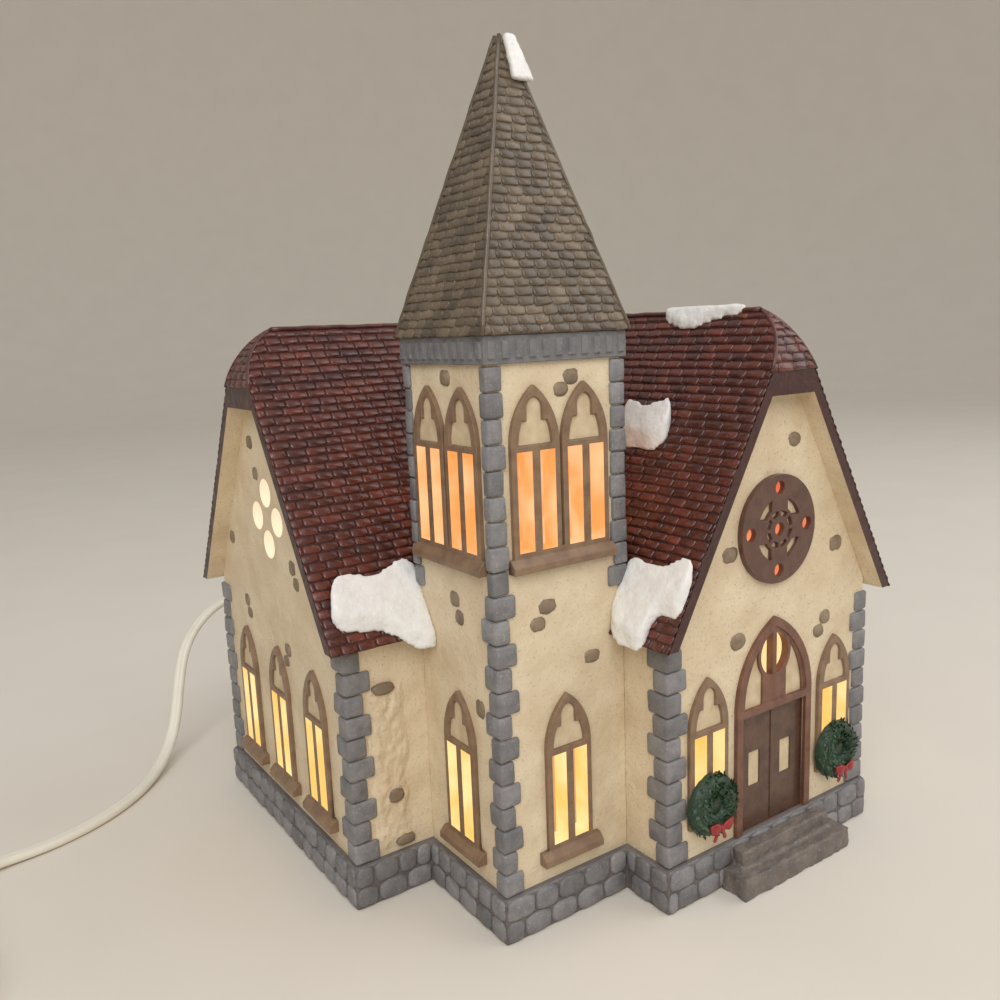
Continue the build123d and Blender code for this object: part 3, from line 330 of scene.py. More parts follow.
WELD = 0.002
FLAT_ANGLE = radians(0.6)
SHARP_ANGLE = radians(28)
FACING = 0.9  # of a normal along an axis, for a face that looks that way
ASIDE = 0.5  # of a normal along an axis: below it, a face looks to a side
UPRIGHT = 0.99
LEAST_CROWN_SHARE = 0.35
LEAST_ARM = 0.01
STONE_WOBBLE = 0.22
WOBBLE_PER_MM = 0.35
AXIS_GAP = 9  # between the noises of the three axes


def new_object(name, data):
    obj = bpy.data.objects.new(name, data)
    bpy.context.scene.collection.objects.link(obj)
    return obj


def dress(obj, body, slot, *replaced):
    """Ties a piece to its CAD body and hides the nodes that it stands for. slot is not used."""
    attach(obj, body)
    if replaced:
        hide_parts(*replaced)
    return obj


def wobble(place, size):
    """A small uneven shift, the same at the same place."""
    shifts = []
    for number in range(3):
        shifts.append(noise.noise(place * WOBBLE_PER_MM + Vector((number * AXIS_GAP, 0, 0))))
    return Vector(shifts) * size


def set_tones(mesh, tones):
    tone = mesh.attributes.new("tone", "FLOAT_COLOR", "POINT")
    tone.data.foreach_set("color", [part for value in tones for part in (value, value, value, 1.0)])


def round_edges(shape, edges, width, clamp):
    bmesh.ops.bevel(
        shape, geom=edges, offset=width, offset_type="OFFSET", segments=2, profile=0.5, affect="EDGES",
        clamp_overlap=clamp, material=0,
    )


def band_faces(rings, count, closed=True, looped=False, flip=False):
    """Faces between neighbouring rings of points, count points to a ring.

    closed joins the ends of a ring, looped the last ring to the first, and flip turns the faces over.
    """
    faces = []
    for ring in range(rings if looped else rings - 1):
        low, high = ring * count, (ring + 1) % rings * count
        for step in range(count if closed else count - 1):
            after = (step + 1) % count
            face = (low + step, low + after, high + after, high + step)
            faces.append((face[0], face[3], face[2], face[1]) if flip else face)
    return faces


def bar_faces(rings, count):
    """Faces of a bar, with its two ends."""
    ends = [tuple(range(count))[::-1], tuple(range((rings - 1) * count, rings * count))]
    return band_faces(rings, count) + ends


class Heap:
    """Points in millimetres, faces between them and a tone for each point, gathered into one piece."""

    def __init__(self):
        self.points = []
        self.faces = []
        self.tones = []

    def add(self, points, faces, tone=1.0):
        first = len(self.points)
        self.points += [Vector(point) for point in points]
        self.tones += [tone] * len(points)
        self.faces += [tuple(first + index for index in face) for face in faces]

    def pad(self, outline, out, heights, sink, edge, drop, tone):
        """A low stone or tile with a rounded rim. The outline lies on the face that carries it."""
        count = len(outline)
        centre = sum(outline, Vector()) / count
        turn = sum(((p - centre).cross(q - centre) for p, q in zip(outline, outline[1:])), Vector())
        if turn.dot(out) < 0:
            outline, heights = outline[::-1], heights[::-1]
        low = [p - out * sink for p in outline]
        brow = [p + out * (h - drop) for p, h in zip(outline, heights)]
        crown = []
        for p, h in zip(outline, heights):
            arm = p - centre
            share = max(LEAST_CROWN_SHARE, 1 - edge / max(arm.length, LEAST_ARM))
            crown.append(centre + arm * share + out * h)
        faces = band_faces(3, count)
        faces.append(tuple(range(2 * count, 3 * count)))
        self.add(low + brow + crown, faces, tone)

    def tube(self, line, radius, sides, tone):
        """A round bar along a line of places."""
        points = []
        for step, place in enumerate(line):
            way = (line[min(step + 1, len(line) - 1)] - line[max(step - 1, 0)]).normalized()
            side = way.orthogonal() if abs(way.z) > UPRIGHT else way.cross(UP)
            side.normalize()
            lift = side.cross(way)
            for turn in range(sides):
                angle = 2 * pi * turn / sides
                points.append(place + (side * cos(angle) + lift * sin(angle)) * radius)
        self.add(points, bar_faces(len(line), sides), tone)

    def rounded(self, outline, low, high, bevel, tone):
        """A stone: a flat outline raised from low to high, with all its edges rounded."""
        count = len(outline)
        shape = bmesh.new()
        verts = [shape.verts.new((x, y, z)) for z in (low, high) for x, y in outline]
        ends = [range(count)[::-1], range(count, 2 * count)]
        for face in ends + band_faces(2, count):
            shape.faces.new([verts[index] for index in face])
        bmesh.ops.recalc_face_normals(shape, faces=shape.faces)
        round_edges(shape, shape.edges[:], bevel, True)
        shape.verts.index_update()
        points = [vert.co + wobble(vert.co, STONE_WOBBLE) for vert in shape.verts]
        faces = [tuple(vert.index for vert in face.verts) for face in shape.faces]
        shape.free()
        self.add(points, faces, tone)

    def piece(self, name, material):
        mesh = bpy.data.meshes.new(name)
        mesh.from_pydata([at(point) for point in self.points], [], self.faces)
        set_tones(mesh, self.tones)
        mesh.materials.append(material)
        mesh.shade_smooth()
        return new_object(name, mesh)


def soften(node, bevel, materials, pick=None, clamp=False, toned=False, cuts=(), crisp=(), seats=()):
    """A copy of a CAD node with rounded edges. pick gives a face's material from its middle and normal.

    cuts are planes, each an axis and a place on it, that part faces before they are picked. Edges of
    faces of the crisp materials, and edges that lie on a plane of the seats, stay sharp.
    """
    mesh = nodes[node].data.copy()
    mesh.materials.clear()
    for material in materials:
        mesh.materials.append(material)
    shape = bmesh.new()
    shape.from_mesh(mesh)
    bmesh.ops.remove_doubles(shape, verts=shape.verts, dist=WELD * MM)
    bmesh.ops.dissolve_limit(
        shape, angle_limit=FLAT_ANGLE, verts=shape.verts, edges=shape.edges, delimit=set()
    )
    for axis, value in cuts:
        normal = Vector([float(axis == number) for number in range(3)])
        everything = shape.verts[:] + shape.edges[:] + shape.faces[:]
        bmesh.ops.bisect_plane(shape, geom=everything, plane_co=at(normal * value), plane_no=normal)
    for face in shape.faces:
        face.material_index = pick(in_mm(face.calc_center_median()), face.normal) if pick else 0
    if bevel:
        rounded = []
        for edge in shape.edges:
            if edge.is_manifold and edge.calc_face_angle() > SHARP_ANGLE:
                ends = [in_mm(vert.co) for vert in edge.verts]
                seated = any(max(abs(end[axis] - value) for end in ends) < TOUCH for axis, value in seats)
                keen = any(face.material_index in crisp for face in edge.link_faces)
                edge.smooth = not (seated or keen)
                if edge.smooth:
                    rounded.append(edge)
        round_edges(shape, rounded, bevel * MM, clamp)
    shape.to_mesh(mesh)
    shape.free()
    if toned:
        set_tones(mesh, [1.0] * len(mesh.vertices))
    obj = new_object("look_" + node, mesh)
    if bevel:
        mesh.shade_smooth()
        obj.modifiers.new("normals", "WEIGHTED_NORMAL").keep_sharp = True
    else:
        mesh.shade_flat()
    return obj


def house_look(node, slot, *look, **how):
    """A softened copy of a node of the house, in its place."""
    return dress(soften(node, *look, **how), "house", slot, node)


# Camera


def make_camera():
    """The photograph's camera, fitted to the corners of the church."""
    turn, tilt, roll = radians(34.223), radians(-10.422), radians(-2.28)
    spot = (-120.95, -181.72, 158.55)
    ahead = Vector((sin(turn) * cos(tilt), cos(turn) * cos(tilt), sin(tilt)))
    right = Vector((cos(turn), -sin(turn), 0))
    above = right.cross(ahead)
    rolled_right = right * cos(roll) + above * sin(roll)
    rolled_above = above * cos(roll) - right * sin(roll)
    data = bpy.data.cameras.new("camera")
    data.sensor_width = 36.0
    data.lens = 33.16
    data.clip_start = 0.01
    camera = new_object("camera", data)
    turned = Matrix((rolled_right, rolled_above, -ahead)).transposed()
    camera.matrix_world = Matrix.Translation(at(spot)) @ turned.to_4x4()
    bpy.context.scene.camera = camera


make_camera()

# Cord

CORD_WIDTH = 4.4
CORD_HEIGHT = 2.8
CORE_STEPS = 7
CORE_ANGLE = 17
COIL_TURNS = 3.5  # of each of its two layers
CLIMB_TURNS = 0.5  # from the lower layer to the upper one
COIL_PITCH = 5.0
COIL_LOW = 2.4
COIL_RISE = 0.27  # turns into the last half turn, past the tie, where the cord starts to rise
COIL_OUTER = 35.15
COIL_DEPTH = 10.0  # of its middle, from the tower's front
TURN_POINTS = 16
SLIGHT = 0.01
SWITCH_LENGTH = 46.0
SWITCH_LEAD = Vector((0, -11, 0))
COIL_LEAD = Vector((0, 15, 0.4))
TAIL_REACHES = (12, 26, 36 + CORD_WIDTH)
PLUG_HEIGHT = 8.2
cord_route = [
    (12.0, 163.0, 57.0), (12.0, 173.2, 57.0), (7.5, 182.4, 56.4), (-0.5, 188.7, 54.9),
    (-10.5, 190.8, 51.8), (-20.4, 188.3, 46.6), (-28.4, 184.4, 38.0), (-33.0, 179.3, 27.0),
    (-36.6, 174.0, 15.6), (-41.5, 167.5, 7.0), (-49.7, 157.0, 2.2), (-61.0, 143.5, 1.5),
    (-75.3, 133.0, 1.5), (-91.7, 127.0, 1.5), (-107.5, 124.9, 2.2), (-121.0, 118.0, 4.0),
    (-129.0, 106.5, 6.0), (-129.0, 94.0, 6.0),
]
switch_end = Vector((cord_route[-1][0], cord_route[-1][1] - SWITCH_LENGTH, cord_route[-1][2]))
coil_middle = Vector((cord_route[-1][0] - COIL_OUTER, COIL_DEPTH, 0))


def ease(share):
    """From 0 to 1 with a soft start and end."""
    return 3 * share**2 - 2 * share**3


def coil_point(turns):
    """A point of the coil: in along the lower layer, up, and out along the upper one."""
    inner = COIL_OUTER - COIL_TURNS * COIL_PITCH
    climb = (turns - COIL_TURNS) / CLIMB_TURNS
    if climb <= 0:
        radius = COIL_OUTER - turns * COIL_PITCH
        height = COIL_LOW
    elif climb < 1:
        radius = inner - COIL_PITCH / 2 * (climb - climb * climb)
        height = COIL_LOW + CORD_HEIGHT * ease(climb)
    else:
        radius = inner + (turns - COIL_TURNS - CLIMB_TURNS) * COIL_PITCH
        rise = (turns - 2 * COIL_TURNS - COIL_RISE) / (CLIMB_TURNS - COIL_RISE)
        top = COIL_LOW + CORD_HEIGHT
        height = top + (PLUG_HEIGHT - top) * ease(min(max(rise, 0.0), 1.0))
    angle = -turns * 2 * pi
    return coil_middle + Vector((cos(angle) * radius, sin(angle) * radius, height))


def flex_profile():
    """The outline of a flat twin flex, two round cores side by side."""
    data = bpy.data.curves.new("flex_profile", "CURVE")
    data.dimensions = "2D"
    core = CORD_HEIGHT / 2
    offset = CORD_WIDTH / 2 - core
    outline = []
    for side, start in ((1, 0), (-1, pi)):
        for step in range(-CORE_STEPS, CORE_STEPS + 1):
            angle = start + radians(step * CORE_ANGLE)
            outline.append((side * offset + cos(angle) * core, sin(angle) * core))
    spline = data.splines.new("POLY")
    spline.points.add(len(outline) - 1)
    for point, (x, y) in zip(spline.points, outline):
        point.co = (x * MM, y * MM, 0, 1)
    spline.use_cyclic_u = True
    return bpy.data.objects.new("flex_profile", data)


def cord_curve(name, places, profile):
    data = bpy.data.curves.new(name, "CURVE")
    data.dimensions = "3D"
    data.twist_mode = "Z_UP"
    data.use_fill_caps = True
    data.resolution_u = 5
    spline = data.splines.new("NURBS")
    spline.points.add(len(places) - 1)
    for point, place in zip(spline.points, places):
        point.co = (*at(place), 1.0)
    spline.order_u = 3
    spline.use_endpoint_u = True
    data.bevel_mode = "OBJECT"
    data.bevel_object = profile
    data.materials.append(cord_white)
    spline.use_smooth = True
    return new_object(name, data)


def make_cords():
    """The cord from the lamp to its switch, and from the switch through the coil to the plug."""
    profile = flex_profile()
    near = cord_curve("cord_to_switch", cord_route, profile)
    dress(near, "lamp", "cord_white", "cord_run")
    last = 2 * COIL_TURNS + CLIMB_TURNS
    turns = [coil_point(step / TURN_POINTS) for step in range(round(last * TURN_POINTS) + 1)]
    way = coil_point(last + SLIGHT) - coil_point(last - SLIGHT)
    way.z = 0
    way.normalize()
    link = [switch_end, switch_end + SWITCH_LEAD, turns[0] + COIL_LEAD]
    tail = [turns[-1] + way * reach for reach in TAIL_REACHES]
    far = cord_curve("cord_to_plug", link + turns + tail, profile)
    dress(far, "lamp", "cord_white", "cord_link", "cord_coil", "cord_tail")
    return near, far


cord_near, cord_far = make_cords()

# Lamp, switch and plug


def make_tie():
    """A soft strap drawn tight round the turns of the coil."""
    strap, slack, corner, corner_steps = 0.7, 0.2, 1.6, 6
    low, high = node_box("cord_tie")
    middle = (low + high) / 2
    foot, top = low.z + strap, COIL_LOW + CORD_HEIGHT * 1.5 + slack
    half = Vector((0, (high.y - low.y) / 2 - strap, (top - foot) / 2))
    points = []
    for swell, x in ((strap, low.x), (strap, high.x), (0, high.x), (0, low.x)):
        for quarter in range(4):
            side = 1 if quarter in (0, 3) else -1
            up = 1 if quarter < 2 else -1
            for step in range(corner_steps + 1):
                angle = pi / 2 * (quarter + step / corner_steps)
                y = middle.y + side * (half.y - corner) + cos(angle) * (corner + swell)
                z = (foot + top) / 2 + up * (half.z - corner) + sin(angle) * (corner + swell)
                points.append(at((x, y, z)))
    mesh = bpy.data.meshes.new("tie")
    mesh.from_pydata(points, [], band_faces(4, len(points) // 4, looped=True))
    mesh.materials.append(tie_black)
    shape = bmesh.new()
    shape.from_mesh(mesh)
    bmesh.ops.recalc_face_normals(shape, faces=shape.faces)
    shape.to_mesh(mesh)
    shape.free()
    return dress(new_object("look_cord_tie", mesh), "lamp", "tie_black", "cord_tie")


def make_lamp():
    """Plastic, brass and steel pieces of the lamp and its cord set, with moulded edges."""
    looks = {
        "socket_body": (0.5, lamp_white, "lamp_white"),
        "socket_cap": (0.5, lamp_white, "lamp_white"),
        "screw_sleeve": (0.15, brass, "brass"),
        "centre_contact": (0.2, brass, "brass"),
        "spring_clip": (0.15, steel, "spring_steel"),
        "strain_relief": (0.3, cord_white, "cord_white"),
        "switch_base": (0.6, cord_white, "cord_white"),
        "switch_cover": (0.8, cord_white, "cord_white"),
        "switch_screws": (0.15, steel, "spring_steel"),
        "switch_wheel": (0.12, wheel_paint, "switch_wheel"),
        "plug_body": (0.7, cord_white, "cord_white"),
        "plug_blades": (0.2, brass, "brass"),
        "bulb_base": (0.15, brass, "brass"),
        "bulb_glass": (0.0, bulb_glow, "bulb_glass"),
        "bulb_filament": (0.0, wire_glow, "bulb_wire"),
    }
    made = {}
    for node, (bevel, material, slot) in looks.items():
        obj = soften(node, bevel, [material], clamp=True)
        made[node] = dress(obj, nodes[node]["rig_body"], slot, node)
    made["cord_tie"] = make_tie()
    return made


lamp = make_lamp()

# Walls and roofs

WALL_BEVEL = 0.35
CORNICE_BEVEL = 0.25
SPIRE_BEVEL = 0.5
DOOR_REACH = 14.5  # from the door's middle, past its pocket's sides
POCKET_DEPTH = 2.0
RIM = 1.0  # faces this near a shell's foot or top are its rims
LOOKS_DOWN = -0.05  # of a normal's height, for a face that looks down
ATTIC = eave + 8
BELFRY_FLOOR = eave - 12
OUTSIDE, ROOM, LOFT, OTHER, BRIGHT_LOFT = range(5)  # materials of a casting
wall_planes = [(0, 0.0), (0, wall_low.x), (0, tower.x), (0, wall_high.x)]
wall_planes += [(1, 0.0), (1, wall_low.y), (1, tower.y), (1, wall_high.y)]


def in_wings(place):
    """True inside the rooms of the two wings, on their inner faces too."""
    skin = WALL - SKIN
    deep = place.y < wall_high.y - skin
    left = wall_low.x + skin < place.x < ridge_x and tower.y + skin < place.y and deep
    front = tower.x + skin < place.x < wall_high.x - skin and wall_low.y + skin < place.y and deep
    return left or front


def in_tower(place):
    skin = WALL - SKIN
    return skin < place.x < tower.x - skin and skin < place.y < tower.y - skin


def in_opening(value, face, way, across):
    """True on the sides of an opening through the wall whose outer face is there."""
    depth = (value - face) * way
    return SKIN < depth < WALL - SKIN and abs(across) < ASIDE


def on_a_face(place, faces_x, faces_y):
    near_x = min(abs(place.x - face) for face in faces_x)
    near_y = min(abs(place.y - face) for face in faces_y)
    return min(near_x, near_y) < TOUCH


def pick_wall(place, normal):
    """Cream outside, glowing rooms and attics inside, and the door's paint in its pocket."""
    room = ROOM
    if place.z > ATTIC:
        room = LOFT if place.x > tower.x else BRIGHT_LOFT
    if in_wings(place):
        return room
    faces_x, faces_y = (wall_low.x, tower.x, wall_high.x), (wall_low.y, tower.y, wall_high.y)
    if place.z < RIM or on_a_face(place, faces_x, faces_y):
        return OUTSIDE
    in_door = abs(place.x - ridge_x) < DOOR_REACH and place.y < wall_low.y + POCKET_DEPTH
    if in_door and place.z < eave:
        return OTHER
    sides = [(place.x, wall_low.x, 1, normal.x), (place.y, wall_low.y, 1, normal.y)]
    sides.append((place.x, wall_high.x, -1, normal.x))
    return room if any(in_opening(*side) for side in sides) else OUTSIDE


def pick_roof(place, normal):
    """Glowing attics inside, and cream soffits outside."""
    if normal.z > LOOKS_DOWN:
        return OUTSIDE
    if in_wings(place):
        return LOFT if place.x > tower.x else BRIGHT_LOFT
    return OTHER


def pick_tower(place, normal):
    level = LOFT if place.z > BELFRY_FLOOR else ROOM
    if in_tower(place):
        return level
    ends = place.z < RIM or place.z > tower.z - RIM
    if ends or on_a_face(place, (0, tower.x), (0, tower.y)):
        return OUTSIDE
    sides = [(place.x, 0, 1, normal.x), (place.y, 0, 1, normal.y)]
    sides += [(place.x, tower.x, -1, normal.x), (place.y, tower.y, -1, normal.y)]
    return level if any(in_opening(*side) for side in sides) else OUTSIDE


def make_castings():
    rooms = [cream, room_glow, attic_glow, door_paint, lamp_glow]
    lit = (ROOM, LOFT, OTHER, BRIGHT_LOFT)
    house_look(
        "wall_shell", "wall_ceramic", WALL_BEVEL, rooms, pick_wall, cuts=[(2, ATTIC)], crisp=lit
    )
    floors = [cream, room_glow, belfry_glow]
    cuts = [(2, BELFRY_FLOOR)]
    house_look(
        "tower_shell", "wall_ceramic", WALL_BEVEL, floors, pick_tower, cuts=cuts, crisp=(ROOM, LOFT)
    )
    cuts = [(0, wall_low.x + WALL), (0, tower.x + WALL), (0, wall_high.x - WALL)]
    cuts += [(1, wall_low.y + WALL), (1, tower.y + WALL), (1, wall_high.y - WALL)]
    under = [roof_edge, room_glow, attic_glow, cream, lamp_glow]
    house_look("main_roof", "roof_glaze", 0.0, under, pick_roof, cuts=cuts)
    house_look("tower_cornice", "stone_grey", CORNICE_BEVEL, [cornice_stone])
    house_look("spire", "spire_glaze", SPIRE_BEVEL, [spire_glaze], toned=True, clamp=True)


make_castings()

# Shingles

LAP_SHARE = 1.2
JOINT = 0.1
SAG = 0.28
LEAST_AREA = 0.7
SHINGLE_RIM = {"sink": 0.6, "edge": 0.34, "drop": 0.22}


def clip(outline, border):
    """The part of a flat outline inside a convex border that runs counter-clockwise."""
    for start, end in zip(border, border[1:] + border[:1]):
        edge = (end[0] - start[0], end[1] - start[1])
        kept = []
        for p, q in zip(outline, outline[1:] + outline[:1]):
            side_p = edge[0] * (p[1] - start[1]) - edge[1] * (p[0] - start[0])
            side_q = edge[0] * (q[1] - start[1]) - edge[1] * (q[0] - start[0])
            if side_p >= 0:
                kept.append(p)
            if (side_p >= 0) != (side_q >= 0):
                share = side_p / (side_p - side_q)
                kept.append((p[0] + (q[0] - p[0]) * share, p[1] + (q[1] - p[1]) * share))
        outline = kept
        if len(outline) < 3:
            return []
    return outline


def area(outline):
    return sum(p[0] * q[1] - q[0] * p[1] for p, q in zip(outline, outline[1:] + outline[:1])) / 2


def tile(heap, corners, courses, width, thick, sunk, skip=None):
    """Lays that many courses of staggered shingles on a flat slope, given by its corners.

    A shingle stands proud by thick at its foot and lies sunk at its head.
    """
    places = [Vector(corner) for corner in corners]
    base = places[0]
    out = (places[1] - base).cross(places[2] - base).normalized()
    if out.z < 0:
        out.negate()
    along = UP.cross(out).normalized()
    rise = out.cross(along)
    border = [((p - base).dot(along), (p - base).dot(rise)) for p in places]
    if area(border) < 0:
        border.reverse()
    low, high = min(p[1] for p in border), max(p[1] for p in border)
    left, right = min(p[0] for p in border), max(p[0] for p in border)
    course = (high - low) / courses
    lap = course * LAP_SHARE
    for row in range(courses):
        foot = low + JOINT + row * course
        u = left - width * draw(0.1, 0.4) - (row % 2) * width / 2
        while u < right:
            wide = width * draw(0.82, 1.18)
            one, two = u + JOINT, u + wide - JOINT
            nick = draw(0.3, 0.6)
            sag, dip = draw(-SAG, SAG), draw(-SAG, SAG)
            outline = [
                (one, foot + nick + sag), (one + nick, foot + sag), (two - nick, foot + dip),
                (two, foot + nick + dip), (two, foot + lap), (one, foot + lap),
            ]
            part = clip(outline, border)
            u += wide
            if len(part) < 3 or area(part) < LEAST_AREA:
                continue
            flat = [base + along * p[0] + rise * p[1] for p in part]
            if skip and skip(sum(flat, Vector()) / len(flat)):
                continue
            lift = thick * draw(0.8, 1.2)
            heights = [lift - (lift + sunk) * max(0.0, p[1] - foot) / lap for p in part]
            heap.pad(flat, out, heights, tone=draw(0.68, 1.3), **SHINGLE_RIM)


def behind_tower(place):
    """True where the tower stands through a roof."""
    return 0 < place.x < tower.x and 0 < place.y < tower.y


def along_line(start, end, step, shake):
    """Places along a straight line, a little uneven."""
    start, end = Vector(start), Vector(end)
    count = ceil((end - start).length / step)
    line = []
    for index in range(count + 1):
        place = start.lerp(end, index / count)
        line.append(place + wobble(place, shake))
    return line


def hip_profile():
    """The rounded half hip from the side: places in from the gable end and up from its lower edge."""
    chord = Vector((HIP_SETBACK, HIP_DROP))
    along = chord.normalized()
    out = Vector((-along.y, along.x))
    half = chord.length / 2
    radius = (half**2 + HIP_BULGE**2) / (2 * HIP_BULGE)
    middle = chord / 2 - out * (radius - HIP_BULGE)
    swing = asin(half / radius)
    angles = [swing * (2 * step / HIP_COURSES - 1) for step in range(HIP_COURSES + 1)]
    return [middle + out * radius * cos(angle) + along * radius * sin(angle) for angle in angles]


def hip_edges(base, inward, across, foot):
    """The two edges of a half hip, up to the ridge. foot is the roof's half width at the eave."""
    base, inward, across = Vector(base), Vector(inward), Vector(across)
    edges = []
    for side in (-1, 1):
        edge = []
        for inset, rise in hip_profile():
            height = ridge - HIP_DROP + rise
            half = foot * (ridge - height) / (ridge - eave)
            edge.append(base + inward * inset + across * side * half + UP * height)
        edges.append(edge)
    return edges


def slope_corners():
    """Corners of every roof slope, the ends of the ridges, and the edges of the half hips."""
    near_x, far_x = tower.x - overhang, roof_high.x
    near_y, far_y = tower.y - overhang, wall_high.y + overhang
    y0, y1, x0 = roof_low.y, roof_high.y, roof_low.x
    meet = (ridge_x, ridge_y, ridge)
    front = hip_edges((ridge_x, y0, 0), (0, 1, 0), (1, 0, 0), far_x - ridge_x)
    back = hip_edges((ridge_x, y1, 0), (0, -1, 0), (1, 0, 0), far_x - ridge_x)
    left = hip_edges((x0, ridge_y, 0), (1, 0, 0), (0, 1, 0), far_y - ridge_y)
    slopes = [
        [(near_x, y0, eave), (near_x, near_y, eave), meet, *front[0][::-1]],
        [(near_x, far_y, eave), (near_x, y1, eave), *back[0], meet],
        [(far_x, y0, eave), (far_x, y1, eave), *back[1], *front[1][::-1]],
        [(x0, near_y, eave), (near_x, near_y, eave), meet, *left[0][::-1]],
        [(x0, far_y, eave), (near_x, far_y, eave), meet, *left[1][::-1]],
    ]
    ridges = [(front[0][-1], back[0][-1]), (left[0][-1], meet)]
    return slopes, ridges, [front, back, left]


def make_shingles():
    shingles = Heap()
    slopes, ridges, hips = slope_corners()
    for corners in slopes:
        tile(shingles, corners, COURSES, width=5.6, thick=0.34, sunk=0.36, skip=behind_tower)
    for start, end in ridges:
        shingles.tube(along_line(start, end, step=3.0, shake=0.25), radius=0.75, sides=8, tone=0.85)
    for one, two in hips:
        for row in range(HIP_COURSES):
            corners = [one[row], two[row], two[row + 1], one[row + 1]]
            tile(shingles, corners, 1, width=5.2, thick=0.5, sunk=-0.1)
        for edge in (one, two):
            shingles.tube(edge, radius=0.5, sides=8, tone=0.85)
    dress(shingles.piece("roof_shingles", roof_glaze), "house", "roof_glaze")
    spire = Heap()
    middle = (spire_low + spire_high) / 2
    feet, tips = [], []
    for x, y in ((-1, -1), (1, -1), (1, 1), (-1, 1)):
        foot_x, foot_y = (spire_low if x < 0 else spire_high).x, (spire_low if y < 0 else spire_high).y
        feet.append((foot_x, foot_y, spire_low.z))
        tips.append((middle.x + x * SPIRE_TIP, middle.y + y * SPIRE_TIP, spire_high.z))
    for step in range(4):
        after = (step + 1) % 4
        corners = [feet[step], feet[after], tips[after], tips[step]]
        tile(spire, corners, SPIRE_COURSES, width=4.8, thick=0.45, sunk=-0.05)
        edge = along_line(feet[step], tips[step], step=3.0, shake=0.2)
        spire.tube(edge, radius=0.6, sides=6, tone=0.9)
    dress(spire.piece("spire_shingles", spire_glaze), "house", "spire_glaze")


make_shingles()

# Stone work

QUOIN_COURSE = 6.2
QUOIN_PROUD = 1.0
QUOIN_SUNK = 0.9
QUOIN_BEVEL = 0.85
TOWER_REACHES = (5.6, 3.8)
WING_REACHES = (7.0, 4.8)
BELFRY_REACHES = (4.2, 2.2)  # the most that there is room for beside the belfry windows
BELFRY_FOOT = eave + 22.4
BELFRY_TOP = eave + 69.0
UPPER_FOOT = eave + 13  # of the tower's corners that rise from the roof
PLINTH_BEVEL = 0.5
BLOCK_EDGE = 0.3
BLOCK_JOINT = 0.25
LEAST_BLOCK = 1.8
BED_JOINT = 0.2
RUN_END = 1.5


def corner_stones(heap, corner, ways, low, high, reaches, belfry=False):
    """Stones that wrap a corner, long and short by turns on each side."""
    courses = round((high - low) / QUOIN_COURSE)
    tall = (high - low) / courses
    for course in range(courses):
        foot = low + course * tall
        arms = reaches if course % 2 == 0 else reaches[::-1]
        if belfry and foot + tall > BELFRY_FOOT and foot < BELFRY_TOP:
            arms = [min(arm, room) for arm, room in zip(arms, BELFRY_REACHES)]
        arms = [arm * draw(0.92, 1.06) for arm in arms]
        proud = QUOIN_PROUD * draw(0.85, 1.15)
        shape = [
            (-proud, -proud), (arms[0], -proud), (arms[0], QUOIN_SUNK), (QUOIN_SUNK, QUOIN_SUNK),
            (QUOIN_SUNK, arms[1]), (-proud, arms[1]),
        ]
        outline = []
        for along, across in shape:
            spot = Vector((*corner, 0)) + Vector((*ways[0], 0)) * along + Vector((*ways[1], 0)) * across
            outline.append((spot.x, spot.y))
        slack = draw(0.12, 0.3) / 2
        heap.rounded(outline, foot + slack, foot + tall - slack, QUOIN_BEVEL, draw(0.76, 1.14))


def make_quoins():
    east, west, north, south = (1, 0), (-1, 0), (0, 1), (0, -1)
    low, top = plinth_high.z, eave - 1.5
    corners = {
        "quoins_left_near": ((wall_low.x, tower.y), (east, north)),
        "quoins_left_far": ((wall_low.x, wall_high.y), (east, south)),
        "quoins_front_near": ((tower.x, wall_low.y), (east, north)),
        "quoins_front_far": ((wall_high.x, wall_low.y), (west, north)),
        "quoins_rear": ((wall_high.x, wall_high.y), (west, south)),
    }
    for node, (corner, ways) in corners.items():
        stones = Heap()
        corner_stones(stones, corner, ways, low, top, WING_REACHES)
        dress(stones.piece("stones_" + node, stone), "house", "stone_grey", node)
    tower_corners = [
        ((0, 0), (east, north), low), ((tower.x, 0), (west, north), UPPER_FOOT),
        ((0, tower.y), (east, south), UPPER_FOOT), ((tower.x, tower.y), (west, south), UPPER_FOOT),
    ]
    top = tower.z - 0.3
    stones = Heap()
    for corner, ways, foot in tower_corners:
        corner_stones(stones, corner, ways, foot, top, TOWER_REACHES, belfry=True)
    dress(stones.piece("stones_quoins_tower", stone), "house", "stone_grey", "quoins_tower")


def blob(middle, along, up, wide, tall, count=12, shake=0.14, power=2.6):
    """A rounded, uneven outline on a flat face. A higher power makes it squarer."""
    outline = []
    for step in range(count):
        angle = 2 * pi * (step + 0.5) / count
        c, s = cos(angle), sin(angle)
        reach = (abs(c) ** power + abs(s) ** power) ** (-1 / power)
        reach *= draw(1 - shake, 1 + shake * 0.4)
        outline.append(middle + along * (c * reach * wide / 2) + up * (s * reach * tall / 2))
    return outline


def pick_plinth(place, normal):
    """The second material on top."""
    return int(normal.z > ASIDE)


